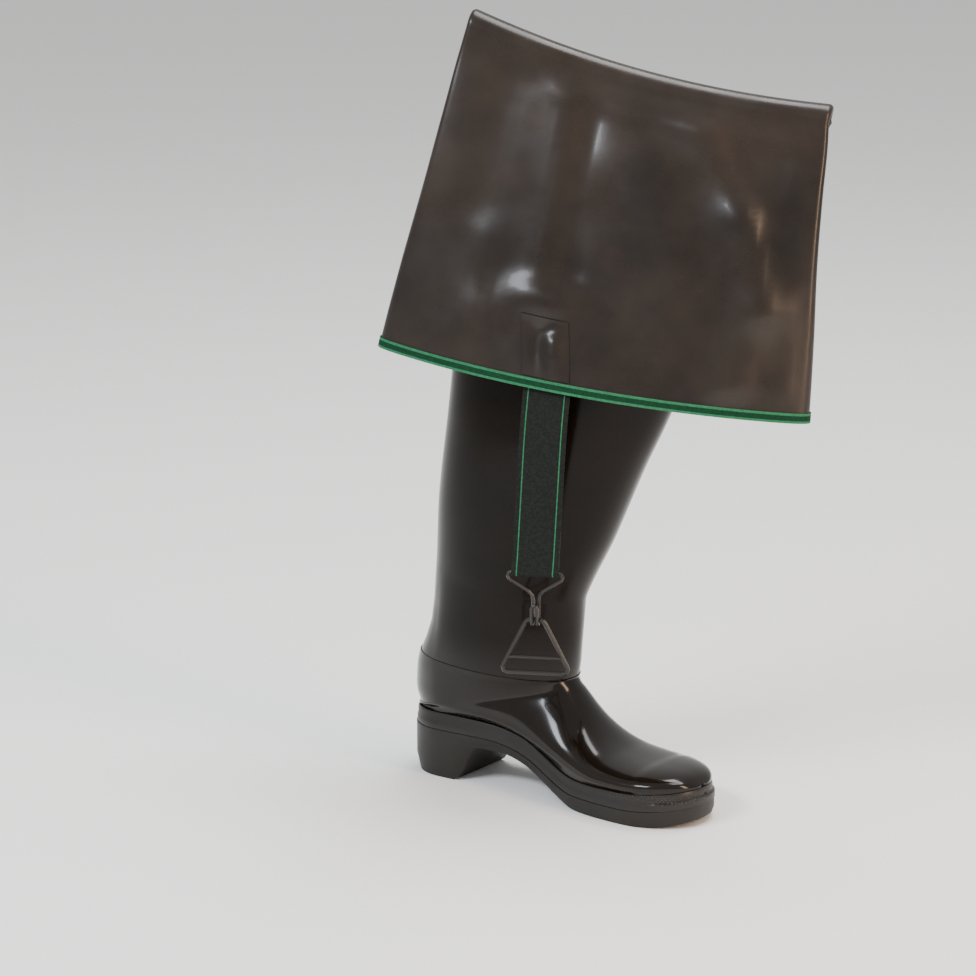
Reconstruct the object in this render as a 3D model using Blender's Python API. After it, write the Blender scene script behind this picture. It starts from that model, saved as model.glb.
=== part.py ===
# Hip wader, left foot: a rubber boot with a thin thigh tube folded over toward the medial side.
# Tables and sizes are in millimetres. +X is toward the toe, +Y toward the wearer's left, +Z up.
# The origin is on the floor under the centre of the heel.

import math

import bpy
import numpy as np

MM = 0.001
GAP = 0.3

# Walls and layers
UPPER_WALL = 2.4
LEG_WALL = 1.5
LAYER_STEP = 0.9
TOE_CAP_X = 213.0
LAP = GAP + LEG_WALL
LAP_HEIGHT = 25.0

# Foot: the plan of the upper at its lower edge
TOE_X = 256.0
HEEL_X = -41.0
HEEL_ROUND = 38.0
TOE_ROUND = 60.0
PLAN = (
    # x, centre, half_width
    (-41.0, 0.0, 35.0),
    (0.0, 0.0, 35.0),
    (30.0, 1.0, 34.5),
    (60.0, 3.5, 33.0),
    (90.0, 5.5, 34.5),
    (120.0, 5.0, 40.0),
    (150.0, 2.0, 46.0),
    (175.0, 0.0, 49.0),
    (200.0, -3.0, 48.0),
    (225.0, -7.0, 44.5),
    (256.0, -11.0, 40.0),
)

# Side view of the sole: underside, the ledge that carries the upper, and the top of the foxing
SOLE_LINES = (
    # x, underside, ledge, foxing_top
    (-46.0, 0.0, 44.0, 60.0),
    (0.0, 0.0, 44.0, 60.0),
    (12.0, 0.0, 43.9, 59.8),
    (38.0, 33.5, 43.3, 58.6),
    (62.0, 32.5, 40.5, 55.5),
    (83.0, 27.0, 35.0, 50.0),
    (106.0, 16.5, 25.5, 40.0),
    (131.0, 5.0, 15.5, 30.0),
    (146.0, 0.8, 13.0, 27.5),
    (156.0, 0.0, 13.0, 27.0),
    (190.0, 0.0, 13.0, 27.5),
    (212.0, 0.0, 13.5, 28.5),
    (238.0, 2.5, 16.0, 31.0),
    (262.0, 7.5, 20.0, 34.0),
)

# Foot: arches from the toe to the heel, each in the plane through its bottom and its top
ARCHES = (
    # bottom_x, top_x, top_z, top_y, medial_bulge, lateral_bulge, widest_at, fullness
    (256.0, 256.0, 34.0, -11.0, 0.0, 0.0, 0.35, 0.85),
    (250.0, 250.0, 39.5, -10.5, 0.3, 0.3, 0.33, 0.85),
    (240.0, 240.0, 42.5, -10.0, 0.8, 0.8, 0.30, 0.82),
    (225.0, 225.0, 44.0, -9.0, 1.2, 1.0, 0.28, 0.80),
    (200.0, 200.0, 44.7, -6.0, 1.6, 1.2, 0.26, 0.80),
    (172.0, 175.0, 47.2, -4.0, 1.8, 1.5, 0.25, 0.82),
    (145.0, 155.5, 53.0, -2.0, 2.2, 2.0, 0.27, 0.85),
    (115.0, 145.5, 61.0, 0.0, 4.0, 4.0, 0.30, 0.86),
    (85.0, 138.5, 71.0, 1.0, 6.0, 5.5, 0.32, 0.86),
    (55.0, 132.5, 79.0, 1.5, 6.5, 6.0, 0.33, 0.85),
    (25.0, 128.0, 86.0, 1.5, 5.5, 5.5, 0.33, 0.84),
    (-5.0, 124.8, 90.8, 1.5, 5.0, 5.0, 0.32, 0.82),
    (-28.0, 122.5, 94.0, 1.0, 5.0, 5.0, 0.31, 0.80),
    (-41.0, 121.0, 96.0, 0.5, 4.5, 4.5, 0.30, 0.78),
)

# Heel and ankle: closed sections between the foot and the shaft
HEEL_RINGS = (
    # back_x, back_z, front_x, front_z, half_width, widest_at, fullness
    (-41.0, 60.0, 121.0, 96.0, 39.5, 0.30, 0.78),
    (-45.5, 76.0, 119.5, 98.0, 41.0, 0.32, 0.80),
    (-44.5, 95.0, 118.0, 100.3, 43.0, 0.36, 0.84),
    (-41.0, 110.0, 116.5, 102.5, 44.0, 0.39, 0.87),
)
ANKLE_SEAM_RING = 3

# Shaft and leg: sections across the leaning axis
LEG_ROWS = (
    # z, x, y, turn_deg, tilt_deg, half_depth, half_width, edge_radius
    (135.0, 41.0, 0.0, 0.0, 3.5, 70.0, 46.5, 0.0),
    (178.0, 48.5, 2.0, 2.0, 7.0, 72.0, 54.0, 0.0),
    (244.0, 63.0, 7.0, 5.0, 11.0, 84.0, 62.0, 0.0),
    (309.0, 79.0, 12.0, 8.0, 13.0, 93.0, 64.0, 0.0),
    (351.0, 90.0, 15.5, 10.5, 13.5, 100.0, 62.0, 0.0),
    (400.0, 102.5, 20.0, 13.0, 13.5, 107.5, 58.0, 0.0),
    (460.0, 117.5, 25.5, 17.0, 13.3, 118.5, 51.0, 1.0),
    (520.0, 132.5, 31.0, 20.5, 13.2, 131.0, 41.0, 2.5),
    (575.0, 147.5, 36.0, 23.0, 13.4, 144.0, 26.0, 4.0),
    (610.0, 159.5, 39.0, 24.5, 13.7, 153.0, 12.5, 4.3),
    (630.0, 165.5, 40.5, 25.0, 13.9, 157.5, 5.0, 4.5),
)
COLLAR_Z = 400.0
FOLD_Z = 630.0
SAG = 14.0
SAG_FROM_Z = 520.0
SAG_LEFT_AT_HEM = 0.3

# Fold and flap, by the length below the fold
FOLD_INNER = 4.0
FLAP_LENGTH = 260.0
HEM_SLOPE = 0.069
FLAP_SWING = 23.0
FLAP_SPACING = 1.15
STRAIGHT_FROM = 190.0
FLAP_ROWS = (
    # below, half_depth, half_width, edge_radius, clearance, bow
    (0.0, 157.5, 5.0, 4.5, 2 * FOLD_INNER, 0.0),
    (25.0, 160.5, 6.0, 4.5, 4.0, 1.0),
    (60.0, 163.5, 7.5, 5.0, 2.5, 3.0),
    (120.0, 169.5, 9.5, 5.5, 2.0, 8.0),
    (195.0, 179.0, 12.8, 6.0, 3.6, 17.0),
    (260.0, 186.0, 17.0, 7.0, 6.0, 25.0),
    (300.0, 189.5, 19.0, 7.5, 6.6, 29.0),
)

# Foxing and outsole
FOXING_THICK = 3.2
FOXING_STEP = 0.8
TOE_BUMPER = 1.2
TOE_BUMPER_X = 225.0
SOLE_EDGE = 4.2
SOLE_TUCK = 1.6
HEEL_TUCK = 3.4
BREAST_X = 12.0
WAIST_X = 38.0
LUG_DEPTH = 3.5
LUG_GROOVE = 5.0
LUG_RIM = 8.0
FOREFOOT_GROOVES = (146.0, 163.0, 180.0, 197.0, 214.0, 231.0)
HEEL_GROOVES = (-26.0, -10.0, 6.0)

# Insole
INSOLE_THICK = 3.0
INSOLE_CLEARANCE = 0.6

# Hem binding and the patch over the strap's joint, by the length above the hem
BINDING_GAP = 0.35
BINDING_THICK = 0.8
BINDING_TALL = 7.5
STRAP_ALONG = -32.0
PATCH_WIDE = 40.0
PATCH_TALL = 49.0
PATCH_THICK = 1.2
PATCH_ABOVE = 9.0
PATCH_LEAN = 0.2

# Strap, with its heights taken from the hem
STRAP_WIDE = 40.0
STRAP_THICK = 1.8
FLAP_CURVE = 0.55
STRAP_INSIDE = 50.0
STRAP_TURN = 50.0
STRAP_DROP = 157.0
STRAP_LEAN = -9.0
STRAP_RETURN = 36.0
EYE_NECK = 12.0

# Hook: half of its wire, from the middle of its bar to its tip
HOOK_WIRE = 1.6
HOOK_DROP = 41.0
HOOK_CURL = 3.9
HOOK_SHANK = 2.4
HOOK_TIP = 28.0
HOOK_HALF = (
    # along, out, down
    (0.0, 0.0, 0.0),
    (20.0, 0.0, 0.0),
    (22.6, 0.0, 1.0),
    (23.6, -0.3, 3.4),
    (22.4, -0.7, 6.2),
    (6.0, -3.2, 17.0),
    (3.2, -3.8, 20.5),
)

# Ring: half of its wire, from the middle of its top to the middle of its base
RING_WIRE = 2.0
RING_BAR_WIRE = 1.6
RING_BAR_DOWN = 33.0
RING_BAR_HALF = 23.6
RING_HALF = (
    # along, down
    (0.0, 0.0),
    (4.8, 0.0),
    (7.0, 0.9),
    (8.6, 3.0),
    (26.4, 38.0),
    (28.0, 42.0),
    (27.0, 45.3),
    (23.6, 46.5),
    (0.0, 46.5),
)

# Mesh density
AROUND = 32
ARCH_STATIONS = 22
HEEL_STEPS = 5
SHAFT_STEPS = 8
RISE_STEPS = 9
FOLD_STEPS = 7
FLAP_STEPS = 9
WIRE_SIDES = 8
PATCH_ROWS = 3
PATCH_COLUMNS = 5


def interpolate(table, key_column, value, column):
    """A smooth curve through one column of a table, with no overshoot between its rows."""
    keys = [row[key_column] for row in table]
    values = [row[column] for row in table]
    if keys[0] > keys[-1]:
        keys.reverse()
        values.reverse()
    last = len(keys) - 1
    value = min(max(value, keys[0]), keys[-1])
    i = min(max(int(np.searchsorted(keys, value)) - 1, 0), last - 1)
    rises = [(values[k + 1] - values[k]) / (keys[k + 1] - keys[k]) for k in range(last)]

    def slope(k):
        if k == 0 or k == last:
            return rises[min(k, last - 1)]
        before, after = rises[k - 1], rises[k]
        return 0.0 if before * after <= 0 else 2 * before * after / (before + after)

    span = keys[i + 1] - keys[i]
    t = (value - keys[i]) / span
    h00 = (1 + 2 * t) * (1 - t) ** 2
    h10 = t * (1 - t) ** 2
    h01 = t * t * (3 - 2 * t)
    h11 = t * t * (t - 1)
    ends = h00 * values[i] + h01 * values[i + 1]
    return ends + span * (h10 * slope(i) + h11 * slope(i + 1))


def plan_centre(x):
    return interpolate(PLAN, 0, x, 1)


def body_half_width(x):
    """Half width of the foot at this place, with a round toe."""
    toe = max(0.0, (x - (TOE_X - TOE_ROUND)) / TOE_ROUND)
    return interpolate(PLAN, 0, x, 2) * max(0.0, 1 - toe**2.3) ** (1 / 2.3)


def plan_half_width(x):
    """Half width of the upper's lower edge, with a round heel and a round toe."""
    heel = max(0.0, ((HEEL_X + HEEL_ROUND) - x) / HEEL_ROUND)
    return body_half_width(x) * max(0.0, 1 - heel**2.1) ** (1 / 2.1)


def station_x(i):
    """Arch stations, closer together at the toe and the heel."""
    middle = (TOE_X + HEEL_X) / 2
    half = (TOE_X - HEEL_X) / 2
    return middle + half * math.cos(math.pi * i / ARCH_STATIONS)


STATION_XS = [station_x(i) for i in range(ARCH_STATIONS + 1)]


def sole_line(x, column):
    """A height of the sole, straight between the arch stations so that neighbours stay parallel."""
    xs = STATION_XS[::-1]
    heights = [interpolate(SOLE_LINES, 0, s, column) for s in xs]
    return float(np.interp(x, xs, heights))


def underside(x):
    return interpolate(SOLE_LINES, 0, x, 1)


def ledge(x):
    return sole_line(x, 2)


def foxing_top(x):
    return sole_line(x, 3)


def section_angles(half_depth, half_width, edge_radius, evenly):
    """Angles round a flattened section, closer together where it turns sharply."""
    even = np.linspace(0, 2 * math.pi, AROUND + 1)[:-1]
    if evenly >= 1:
        return even
    a = half_depth - edge_radius
    b = half_width - edge_radius
    normal = np.linspace(0, 2 * math.pi, 1441)
    from_normal = np.unwrap(np.arctan2(b * np.sin(normal), a * np.cos(normal)))
    dense = np.sort(np.concatenate([normal, from_normal]))
    points, turn = section_points(half_depth, half_width, edge_radius, dense)
    steps = np.linalg.norm(np.diff(points, axis=0), axis=1)
    turns = np.abs(np.diff(np.unwrap(turn)))
    weight = steps / steps.sum() + turns / turns.sum()
    along = np.concatenate([[0], np.cumsum(weight)]) / weight.sum()
    spread = np.interp(np.arange(AROUND) / AROUND, along, dense)
    return evenly * even + (1 - evenly) * spread


def section_points(half_depth, half_width, edge_radius, angles):
    """Points of an ellipse widened by a round edge, and the direction each faces."""
    a = half_depth - edge_radius
    b = half_width - edge_radius
    facing = np.arctan2(a * np.sin(angles), b * np.cos(angles))
    x = a * np.cos(angles) + edge_radius * np.cos(facing)
    y = b * np.sin(angles) + edge_radius * np.sin(facing)
    return np.stack([x, y], axis=1), facing


def leg_frame(z):
    """Centre of the leg's axis at this height, with its wide, thin and upward directions."""
    turn = math.radians(interpolate(LEG_ROWS, 0, z, 3))
    tilt = math.radians(interpolate(LEG_ROWS, 0, z, 4))
    centre = np.array([interpolate(LEG_ROWS, 0, z, 1), interpolate(LEG_ROWS, 0, z, 2), z])
    wide = np.array(
        [math.cos(tilt) * math.cos(turn), math.cos(tilt) * math.sin(turn), -math.sin(tilt)]
    )
    thin = np.array([math.sin(turn), -math.cos(turn), 0.0])
    up = np.cross(thin, wide)
    return centre, wide, thin, up


def sag(share):
    """How far the middle of the fold hangs below a straight line between its ends."""
    return SAG * (1 - min(share * share, 1.0))


def shaft_ring(z, grow=0.0):
    """One section of the shaft or of the rising leg, seen from above: front, medial, back, lateral."""
    centre, wide, thin, up = leg_frame(z)
    depth = interpolate(LEG_ROWS, 0, z, 5) + grow
    width = interpolate(LEG_ROWS, 0, z, 6) + grow
    radius = interpolate(LEG_ROWS, 0, z, 7)
    evenly = min(max((520.0 - z) / 110.0, 0.0), 1.0)
    angles = section_angles(depth, width, radius, evenly)
    points, _ = section_points(depth, width, radius, angles)
    t = min(max((z - SAG_FROM_Z) / (FOLD_Z - SAG_FROM_Z), 0.0), 1.0)
    near = t * t * (3 - 2 * t)
    return [centre + wide * p[0] + thin * p[1] - up * near * sag(p[0] / depth) for p in points]


def flap_point(below, along, across):
    """A point of the flap from its length below the fold and its place in the section."""
    half_depth = interpolate(FLAP_ROWS, 0, below, 1)
    hang = sag(along / half_depth) * (1 - (1 - SAG_LEFT_AT_HEM) * below / FLAP_LENGTH)
    below = below * (1 - HEM_SLOPE * along / half_depth)
    rise_z = FOLD_Z - below * math.cos(math.radians(16.0))
    fold_centre, wide, thin, up = leg_frame(FOLD_Z)
    rise_centre = leg_frame(rise_z)[0]
    axis_centre = fold_centre - up * below
    swing = FLAP_SWING * below / FLAP_LENGTH
    rise_half = interpolate(LEG_ROWS, 0, rise_z, 6) + LAP
    offset = (
        rise_half
        + interpolate(FLAP_ROWS, 0, below, 4)
        + interpolate(FLAP_ROWS, 0, below, 2)
        + (rise_centre - axis_centre) @ thin
    )
    bow = interpolate(FLAP_ROWS, 0, below, 5) * (along / half_depth) ** 2
    return axis_centre + wide * (swing + along) + thin * (offset + across - bow) - up * hang


def flap_section(below):
    """The flat outline of one section of the flap. Its corners run straight down to the hem."""
    shape = [interpolate(FLAP_ROWS, 0, below, column) for column in (1, 2, 3)]
    spacing = FLAP_LENGTH if below > STRAIGHT_FROM else below
    angles = section_angles(*(interpolate(FLAP_ROWS, 0, spacing, column) for column in (1, 2, 3)), 0.0)
    return section_points(*shape, angles)[0]


def flap_ring(below):
    """One section of the flap: front, the layer next to the shaft, back, then the outer layer."""
    return [flap_point(below, p[0], -p[1]) for p in flap_section(below)]


def flap_face(below, along):
    """A point of the flap's outer layer, on the flat faces between its sections."""
    place = FLAP_STEPS * (below / FLAP_LENGTH) ** (1 / FLAP_SPACING)
    lower = min(int(place + 0.0001), FLAP_STEPS - 1)
    ends = [FLAP_LENGTH * (k / FLAP_STEPS) ** FLAP_SPACING for k in (lower, lower + 1)]
    spots = []
    for end in ends:
        outer = sorted((p[0], *flap_point(end, p[0], -p[1])) for p in flap_section(end) if p[1] < 0.01)
        keys = [row[0] for row in outer]
        spots.append(np.array([np.interp(along, keys, [row[c] for row in outer]) for c in (1, 2, 3)]))
    return spots[0] + (spots[1] - spots[0]) * (below - ends[0]) / (ends[1] - ends[0])


def fold_ring(turned):
    """One section of the hairpin at the top, turned by this angle about the fold."""
    centre, wide, thin, up = leg_frame(FOLD_Z)
    depth = interpolate(LEG_ROWS, 0, FOLD_Z, 5)
    width = interpolate(LEG_ROWS, 0, FOLD_Z, 6)
    radius = interpolate(LEG_ROWS, 0, FOLD_Z, 7)
    bend = (width + LAP + interpolate(FLAP_ROWS, 0, 0, 4) + width) / 2
    centre = centre + thin * bend * (1 - math.cos(turned)) + up * bend * math.sin(turned)
    inward = thin * math.cos(turned) - up * math.sin(turned)
    angles = section_angles(depth, width, radius, 0.0)
    points, _ = section_points(depth, width, radius, angles)
    return [centre + wide * p[0] + inward * p[1] - up * sag(p[0] / depth) for p in points]


def arch_points(bottom, top, thin, start, widest, widest_at, fullness):
    """An arch from the medial side over the top to the lateral side."""
    lower_share = 0.25 + 0.5 * widest_at
    half = AROUND // 2
    points = []
    for j in range(AROUND + 1):
        side = 0 if j <= half else 1
        q = (j if side == 0 else AROUND - j) / half
        if q <= lower_share:
            share = q / lower_share
            angle = math.pi / 2 * share
            upright = (start[side] / max(widest[side], 0.01)) ** 2
            t = widest_at * (upright * share + (1 - upright) * (1 - math.cos(angle)))
            swell = upright * share * share * (3 - 2 * share) + (1 - upright) * math.sin(angle)
            w = start[side] + (widest[side] - start[side]) * swell
        else:
            angle = math.pi / 2 * (1 + (q - lower_share) / (1 - lower_share))
            t = widest_at - (1 - widest_at) * math.cos(angle)
            w = widest[side] * math.sin(angle) ** fullness if q < 1 else 0.0
        sign = 1 if side == 0 else -1
        points.append(bottom + (top - bottom) * t + thin * sign * w)
    return points


def foot_arch(i):
    x = STATION_XS[i]
    cell = [interpolate(ARCHES, 0, x, column) for column in range(8)]
    _, top_x, top_z, top_y, medial, lateral, widest_at, fullness = cell
    half = plan_half_width(x)
    body = body_half_width(x)
    bottom = np.array([x, plan_centre(x), foxing_top(x)])
    top = np.array([top_x, top_y, top_z])
    tip = min(1.0, 4 * body / PLAN[-1][2])
    widest = (body + medial * tip, body + lateral * tip)
    thin = np.array([0.0, -1.0, 0.0])
    return arch_points(bottom, top, thin, (half, half), widest, widest_at, fullness)


def heel_ring(position):
    """A closed section at a place between the rows of the heel, ending in the first shaft row."""
    last = len(HEEL_RINGS)
    centre, wide, thin, _ = leg_frame(LEG_ROWS[0][0])
    depth, width = LEG_ROWS[0][5], LEG_ROWS[0][6]
    back, front = centre - wide * depth, centre + wide * depth
    rows = [(k, *row) for k, row in enumerate(HEEL_RINGS)]
    rows.append((last, back[0], back[2], front[0], front[2], width, 0.46, 0.94))
    centre, wide, thin, _ = leg_frame(LEG_ROWS[1][0])
    depth, width = LEG_ROWS[1][5], LEG_ROWS[1][6]
    back, front = centre - wide * depth, centre + wide * depth
    rows.append((last + 1, back[0], back[2], front[0], front[2], width, 0.5, 1.0))
    cell = [interpolate(rows, 0, position, column) for column in range(8)]
    _, back_x, back_z, front_x, front_z, width, widest_at, fullness = cell
    y = 2.0 * max(0.0, position - last)
    thin = np.array([0.0, -1.0, 0.0])
    bottom, top = np.array([back_x, y, back_z]), np.array([front_x, y, front_z])
    return arch_points(bottom, top, thin, (0.0, 0.0), (width, width), widest_at, fullness)


def ring_from_arch(arch):
    """Reorders a closed arch to start at the front like a shaft ring."""
    half = AROUND // 2
    return [arch[(half - k) % AROUND] for k in range(AROUND)]


class Sheet:
    """A surface of points and faces that becomes a wall of even thickness."""

    def __init__(self):
        self.points = []
        self.faces = []
        self.lifts = []

    def add(self, points, lift=0.0):
        first = len(self.points)
        self.points.extend(np.asarray(p, float) for p in points)
        self.lifts.extend([lift] * len(points))
        return list(range(first, len(self.points)))

    def join(self, lower, upper, closed):
        count = len(lower)
        for k in range(count if closed else count - 1):
            n = (k + 1) % count
            face = []
            for corner in (lower[k], lower[n], upper[n], upper[k]):
                if corner not in face:
                    face.append(corner)
            if len(face) > 2:
                self.faces.append(face)

    def normals(self):
        points = np.array(self.points)
        normals = np.zeros_like(points)
        for face in self.faces:
            around = points[face]
            spokes = around[1:] - around[0]
            area = np.cross(spokes[:-1], spokes[1:]).sum(axis=0)
            for corner in face:
                normals[corner] += area
        return normals / np.maximum(np.linalg.norm(normals, axis=1), 1e-9)[:, None]

    def wall(self, outward, inward):
        """Points and faces of the closed wall, from its outer side to its inner side."""
        points = np.array(self.points)
        normals = self.normals()
        outer = points + normals * (outward + np.array(self.lifts)[:, None])
        inner = points - normals * inward
        count = len(points)
        inside = [[corner + count for corner in reversed(face)] for face in self.faces]
        faces = list(self.faces) + inside
        edges = {}
        for face in self.faces:
            for a, b in zip(face, face[1:] + face[:1]):
                edges[(a, b)] = edges.get((a, b), 0) + 1
        for a, b in edges:
            if (b, a) not in edges:
                faces.append([b, a, a + count, b + count])
        return np.concatenate([outer, inner]), faces


def upper_sheet():
    """The upper's outer surface: a skirt round the foot, arches over it, rings up the shaft."""
    sheet = Sheet()
    half = AROUND // 2
    arches = []
    tip = sheet.add([foot_arch(0)[half]])[0]
    arches.append([tip] * (AROUND + 1))
    for i in range(1, ARCH_STATIONS):
        lift = 2 * LAYER_STEP if STATION_XS[i] > TOE_CAP_X else LAYER_STEP
        arches.append(sheet.add(foot_arch(i), lift))
    rings = []
    steps = [k * ANKLE_SEAM_RING / HEEL_STEPS for k in range(HEEL_STEPS + 1)]
    steps += [ANKLE_SEAM_RING + 0.03, 3.5, 4.0, 4.5]
    for position in steps:
        lift = LAYER_STEP if position <= ANKLE_SEAM_RING else 0.0
        rings.append(sheet.add(ring_from_arch(heel_ring(position)), lift))
    for k in range(SHAFT_STEPS + 1):
        z = LEG_ROWS[1][0] + (COLLAR_Z - LEG_ROWS[1][0]) * k / SHAFT_STEPS
        rings.append(sheet.add(shaft_ring(z)))
    heel = rings[0]
    arches.append([heel[(half - k) % AROUND] for k in range(AROUND + 1)])
    for before, after in zip(arches, arches[1:]):
        sheet.join(before, after, False)
    for before, after in zip(rings, rings[1:]):
        sheet.join(after, before, True)
    loop = [arch[0] for arch in arches] + [arch[-1] for arch in arches[-2:0:-1]]
    edge = [sheet.points[k] for k in loop]
    skirt = sheet.add([(p[0], p[1], ledge(p[0]) + GAP) for p in edge])
    for corner in loop:
        sheet.lifts[corner] = 0.0
    sheet.join(loop, skirt, True)
    return sheet


def foot_loop():
    """The closed outline of the upper's lower edge: medial side from toe to heel, then lateral."""
    half = AROUND // 2
    arches = [foot_arch(i) for i in range(1, ARCH_STATIONS)]
    loop = [foot_arch(0)[half]]
    loop += [arch[0] for arch in arches]
    loop += [np.array(heel_ring(0.0)[0])]
    loop += [arch[-1] for arch in reversed(arches)]
    return [np.array([p[0], p[1]]) for p in loop]


def loop_normals(loop):
    """Outward directions at the corners of an outline, as long as keeps its grown sides parallel."""
    count = len(loop)
    sides = []
    for k in range(count):
        along = loop[(k + 1) % count] - loop[k]
        sides.append(np.array([along[1], -along[0]]) / np.linalg.norm(along))
    centre = sum(loop) / count
    if (loop[0] - centre) @ (sides[0] + sides[-1]) < 0:
        sides = [-side for side in sides]
    corners = [(sides[k - 1] + sides[k]) for k in range(count)]
    return [c / (c @ c) * 2 for c in corners]


def grown_loop(distance):
    return [p + n * distance for p, n in zip(foot_loop(), loop_normals(foot_loop()))]


def swept_band(rows, closed_profile=True):
    """Points and faces of a profile carried round a closed path: rows holds one profile a station."""
    sheet = Sheet()
    indices = [sheet.add(row) for row in rows]
    for before, after in zip(indices, indices[1:] + indices[:1]):
        sheet.join(before, after, closed_profile)
    return sheet.points, sheet.faces


def facing_out(points, faces):
    """The same faces, turned so that the closed shape's volume is positive."""
    points = np.array(points)
    volume = 0.0
    for face in faces:
        for k in range(1, len(face) - 1):
            volume += np.dot(points[face[0]], np.cross(points[face[k]], points[face[k + 1]]))
    if volume < 0:
        faces = [list(reversed(face)) for face in faces]
    return points, faces


def foxing_solid():
    """The rubber band round the foot, with a bead at its top and a bumper at the toe."""
    inner = grown_loop(GAP)
    rows = []
    for base, out in zip(inner, loop_normals(foot_loop())):
        low, high = ledge(base[0]) + GAP, foxing_top(base[0])
        tall = high - low
        bumper = TOE_BUMPER * min(max((base[0] - TOE_BUMPER_X) / 12.0, 0.0), 1.0)
        thick = FOXING_THICK
        profile = (
            # out, height
            (0.0, low),
            (thick + bumper, low),
            (thick + bumper, low + 0.38 * tall),
            (thick - FOXING_STEP, low + 0.46 * tall),
            (thick - FOXING_STEP, high - 3.0),
            (thick - FOXING_STEP - 0.9, high - 0.8),
            (0.0, high - 0.8),
        )
        rows.append([np.array([*(base + out * o), z]) for o, z in profile])
    return facing_out(*swept_band(rows))


def build_object(name, points, faces, material, origin=(0.0, 0.0, 0.0)):
    mesh = bpy.data.meshes.new(name)
    mesh.from_pydata([tuple(p * MM) for p in np.asarray(points, float) - origin], [], faces)
    mesh.validate()
    mesh.shade_smooth()
    mesh.set_sharp_from_angle(angle=math.radians(40))
    mesh.materials.append(material)
    obj = bpy.data.objects.new(name, mesh)
    obj.location = np.asarray(origin, float) * MM
    bpy.context.scene.collection.objects.link(obj)
    return obj


def make_material(name, colour, roughness, metallic=0.0):
    material = bpy.data.materials.new(name)
    material.use_nodes = True
    shader = material.node_tree.nodes["Principled BSDF"]
    shader.inputs["Base Color"].default_value = (*colour, 1.0)
    shader.inputs["Roughness"].default_value = roughness
    shader.inputs["Metallic"].default_value = metallic
    return material


def leg_sheet():
    """The leg's surface: up over the shaft's collar, round the fold and down the flap."""
    sheet = Sheet()
    rings = []
    for k in range(RISE_STEPS + 1):
        start = COLLAR_Z - LAP_HEIGHT
        z = start + (FOLD_Z - start) * (1 - (1 - k / RISE_STEPS) ** 1.25)
        rings.append(shaft_ring(z, LAP if z < FOLD_Z - 1 else 0.0))
    for k in range(1, FOLD_STEPS):
        rings.append(fold_ring(math.pi * k / FOLD_STEPS))
    for k in range(FLAP_STEPS + 1):
        rings.append(flap_ring(FLAP_LENGTH * (k / FLAP_STEPS) ** FLAP_SPACING))
    indices = [sheet.add(ring) for ring in rings]
    for before, after in zip(indices, indices[1:]):
        sheet.join(after, before, True)
    return sheet


def outsole_object(material):
    """The sole with its heel block, waist, toe spring and side, with grooves between its lugs."""
    loop, normals = foot_loop(), loop_normals(foot_loop())
    half = len(loop) // 2
    xs = [p[0] for p in loop[: half + 1]]
    xs = sorted(set(xs) | {BREAST_X, WAIST_X, (BREAST_X + WAIST_X) / 2}, reverse=True)

    def edge(x, side, out):
        """The plan of one side at this place along the upper's outline."""
        corners = range(half, -1, -1) if side < 0 else range(half, len(loop) + 1)
        pos = np.array([loop[k % len(loop)] for k in corners])
        nor = np.array([normals[k % len(loop)] for k in corners])
        keys = pos[:, 0]
        p = np.array([np.interp(x, keys, pos[:, 0]), np.interp(x, keys, pos[:, 1])])
        n = np.array([np.interp(x, keys, nor[:, 0]), np.interp(x, keys, nor[:, 1])])
        return p + n / np.linalg.norm(n) * out

    sheet = Sheet()
    rows = []
    for x in xs:
        top, bottom = ledge(x), underside(x)
        mid = bottom + 0.35 * (top - bottom)
        ends = x in (xs[0], xs[-1])
        row = []
        tuck = HEEL_TUCK if x < WAIST_X else SOLE_TUCK
        for out, z in ((SOLE_EDGE, top), (SOLE_EDGE, mid), (SOLE_EDGE - tuck, bottom)):
            medial, lateral = edge(x, -1, out), edge(x, 1, out)
            if ends:
                medial = lateral = (medial + lateral) / 2
            row.append((np.array([*medial, z]), np.array([*lateral, z])))
        if ends:
            row = [(m, m) for m, _ in row]
        rows.append(row)
    indices = []
    for row in rows:
        corners = []
        for medial, lateral in row:
            first = sheet.add([medial])[0]
            second = first if np.allclose(medial, lateral) else sheet.add([lateral])[0]
            corners.append((first, second))
        indices.append(corners)
    for a, b in zip(indices, indices[1:]):
        ring_a = [a[0][0], a[0][1], a[1][1], a[2][1], a[2][0], a[1][0]]
        ring_b = [b[0][0], b[0][1], b[1][1], b[2][1], b[2][0], b[1][0]]
        sheet.join(ring_a, ring_b, True)
    sole = build_object("outsole", *facing_out(sheet.points, sheet.faces), material)
    cutter = groove_cutter()
    cut = sole.modifiers.new("grooves", "BOOLEAN")
    cut.operation = "DIFFERENCE"
    cut.solver = "EXACT"
    cut.object = cutter
    return sole


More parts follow.
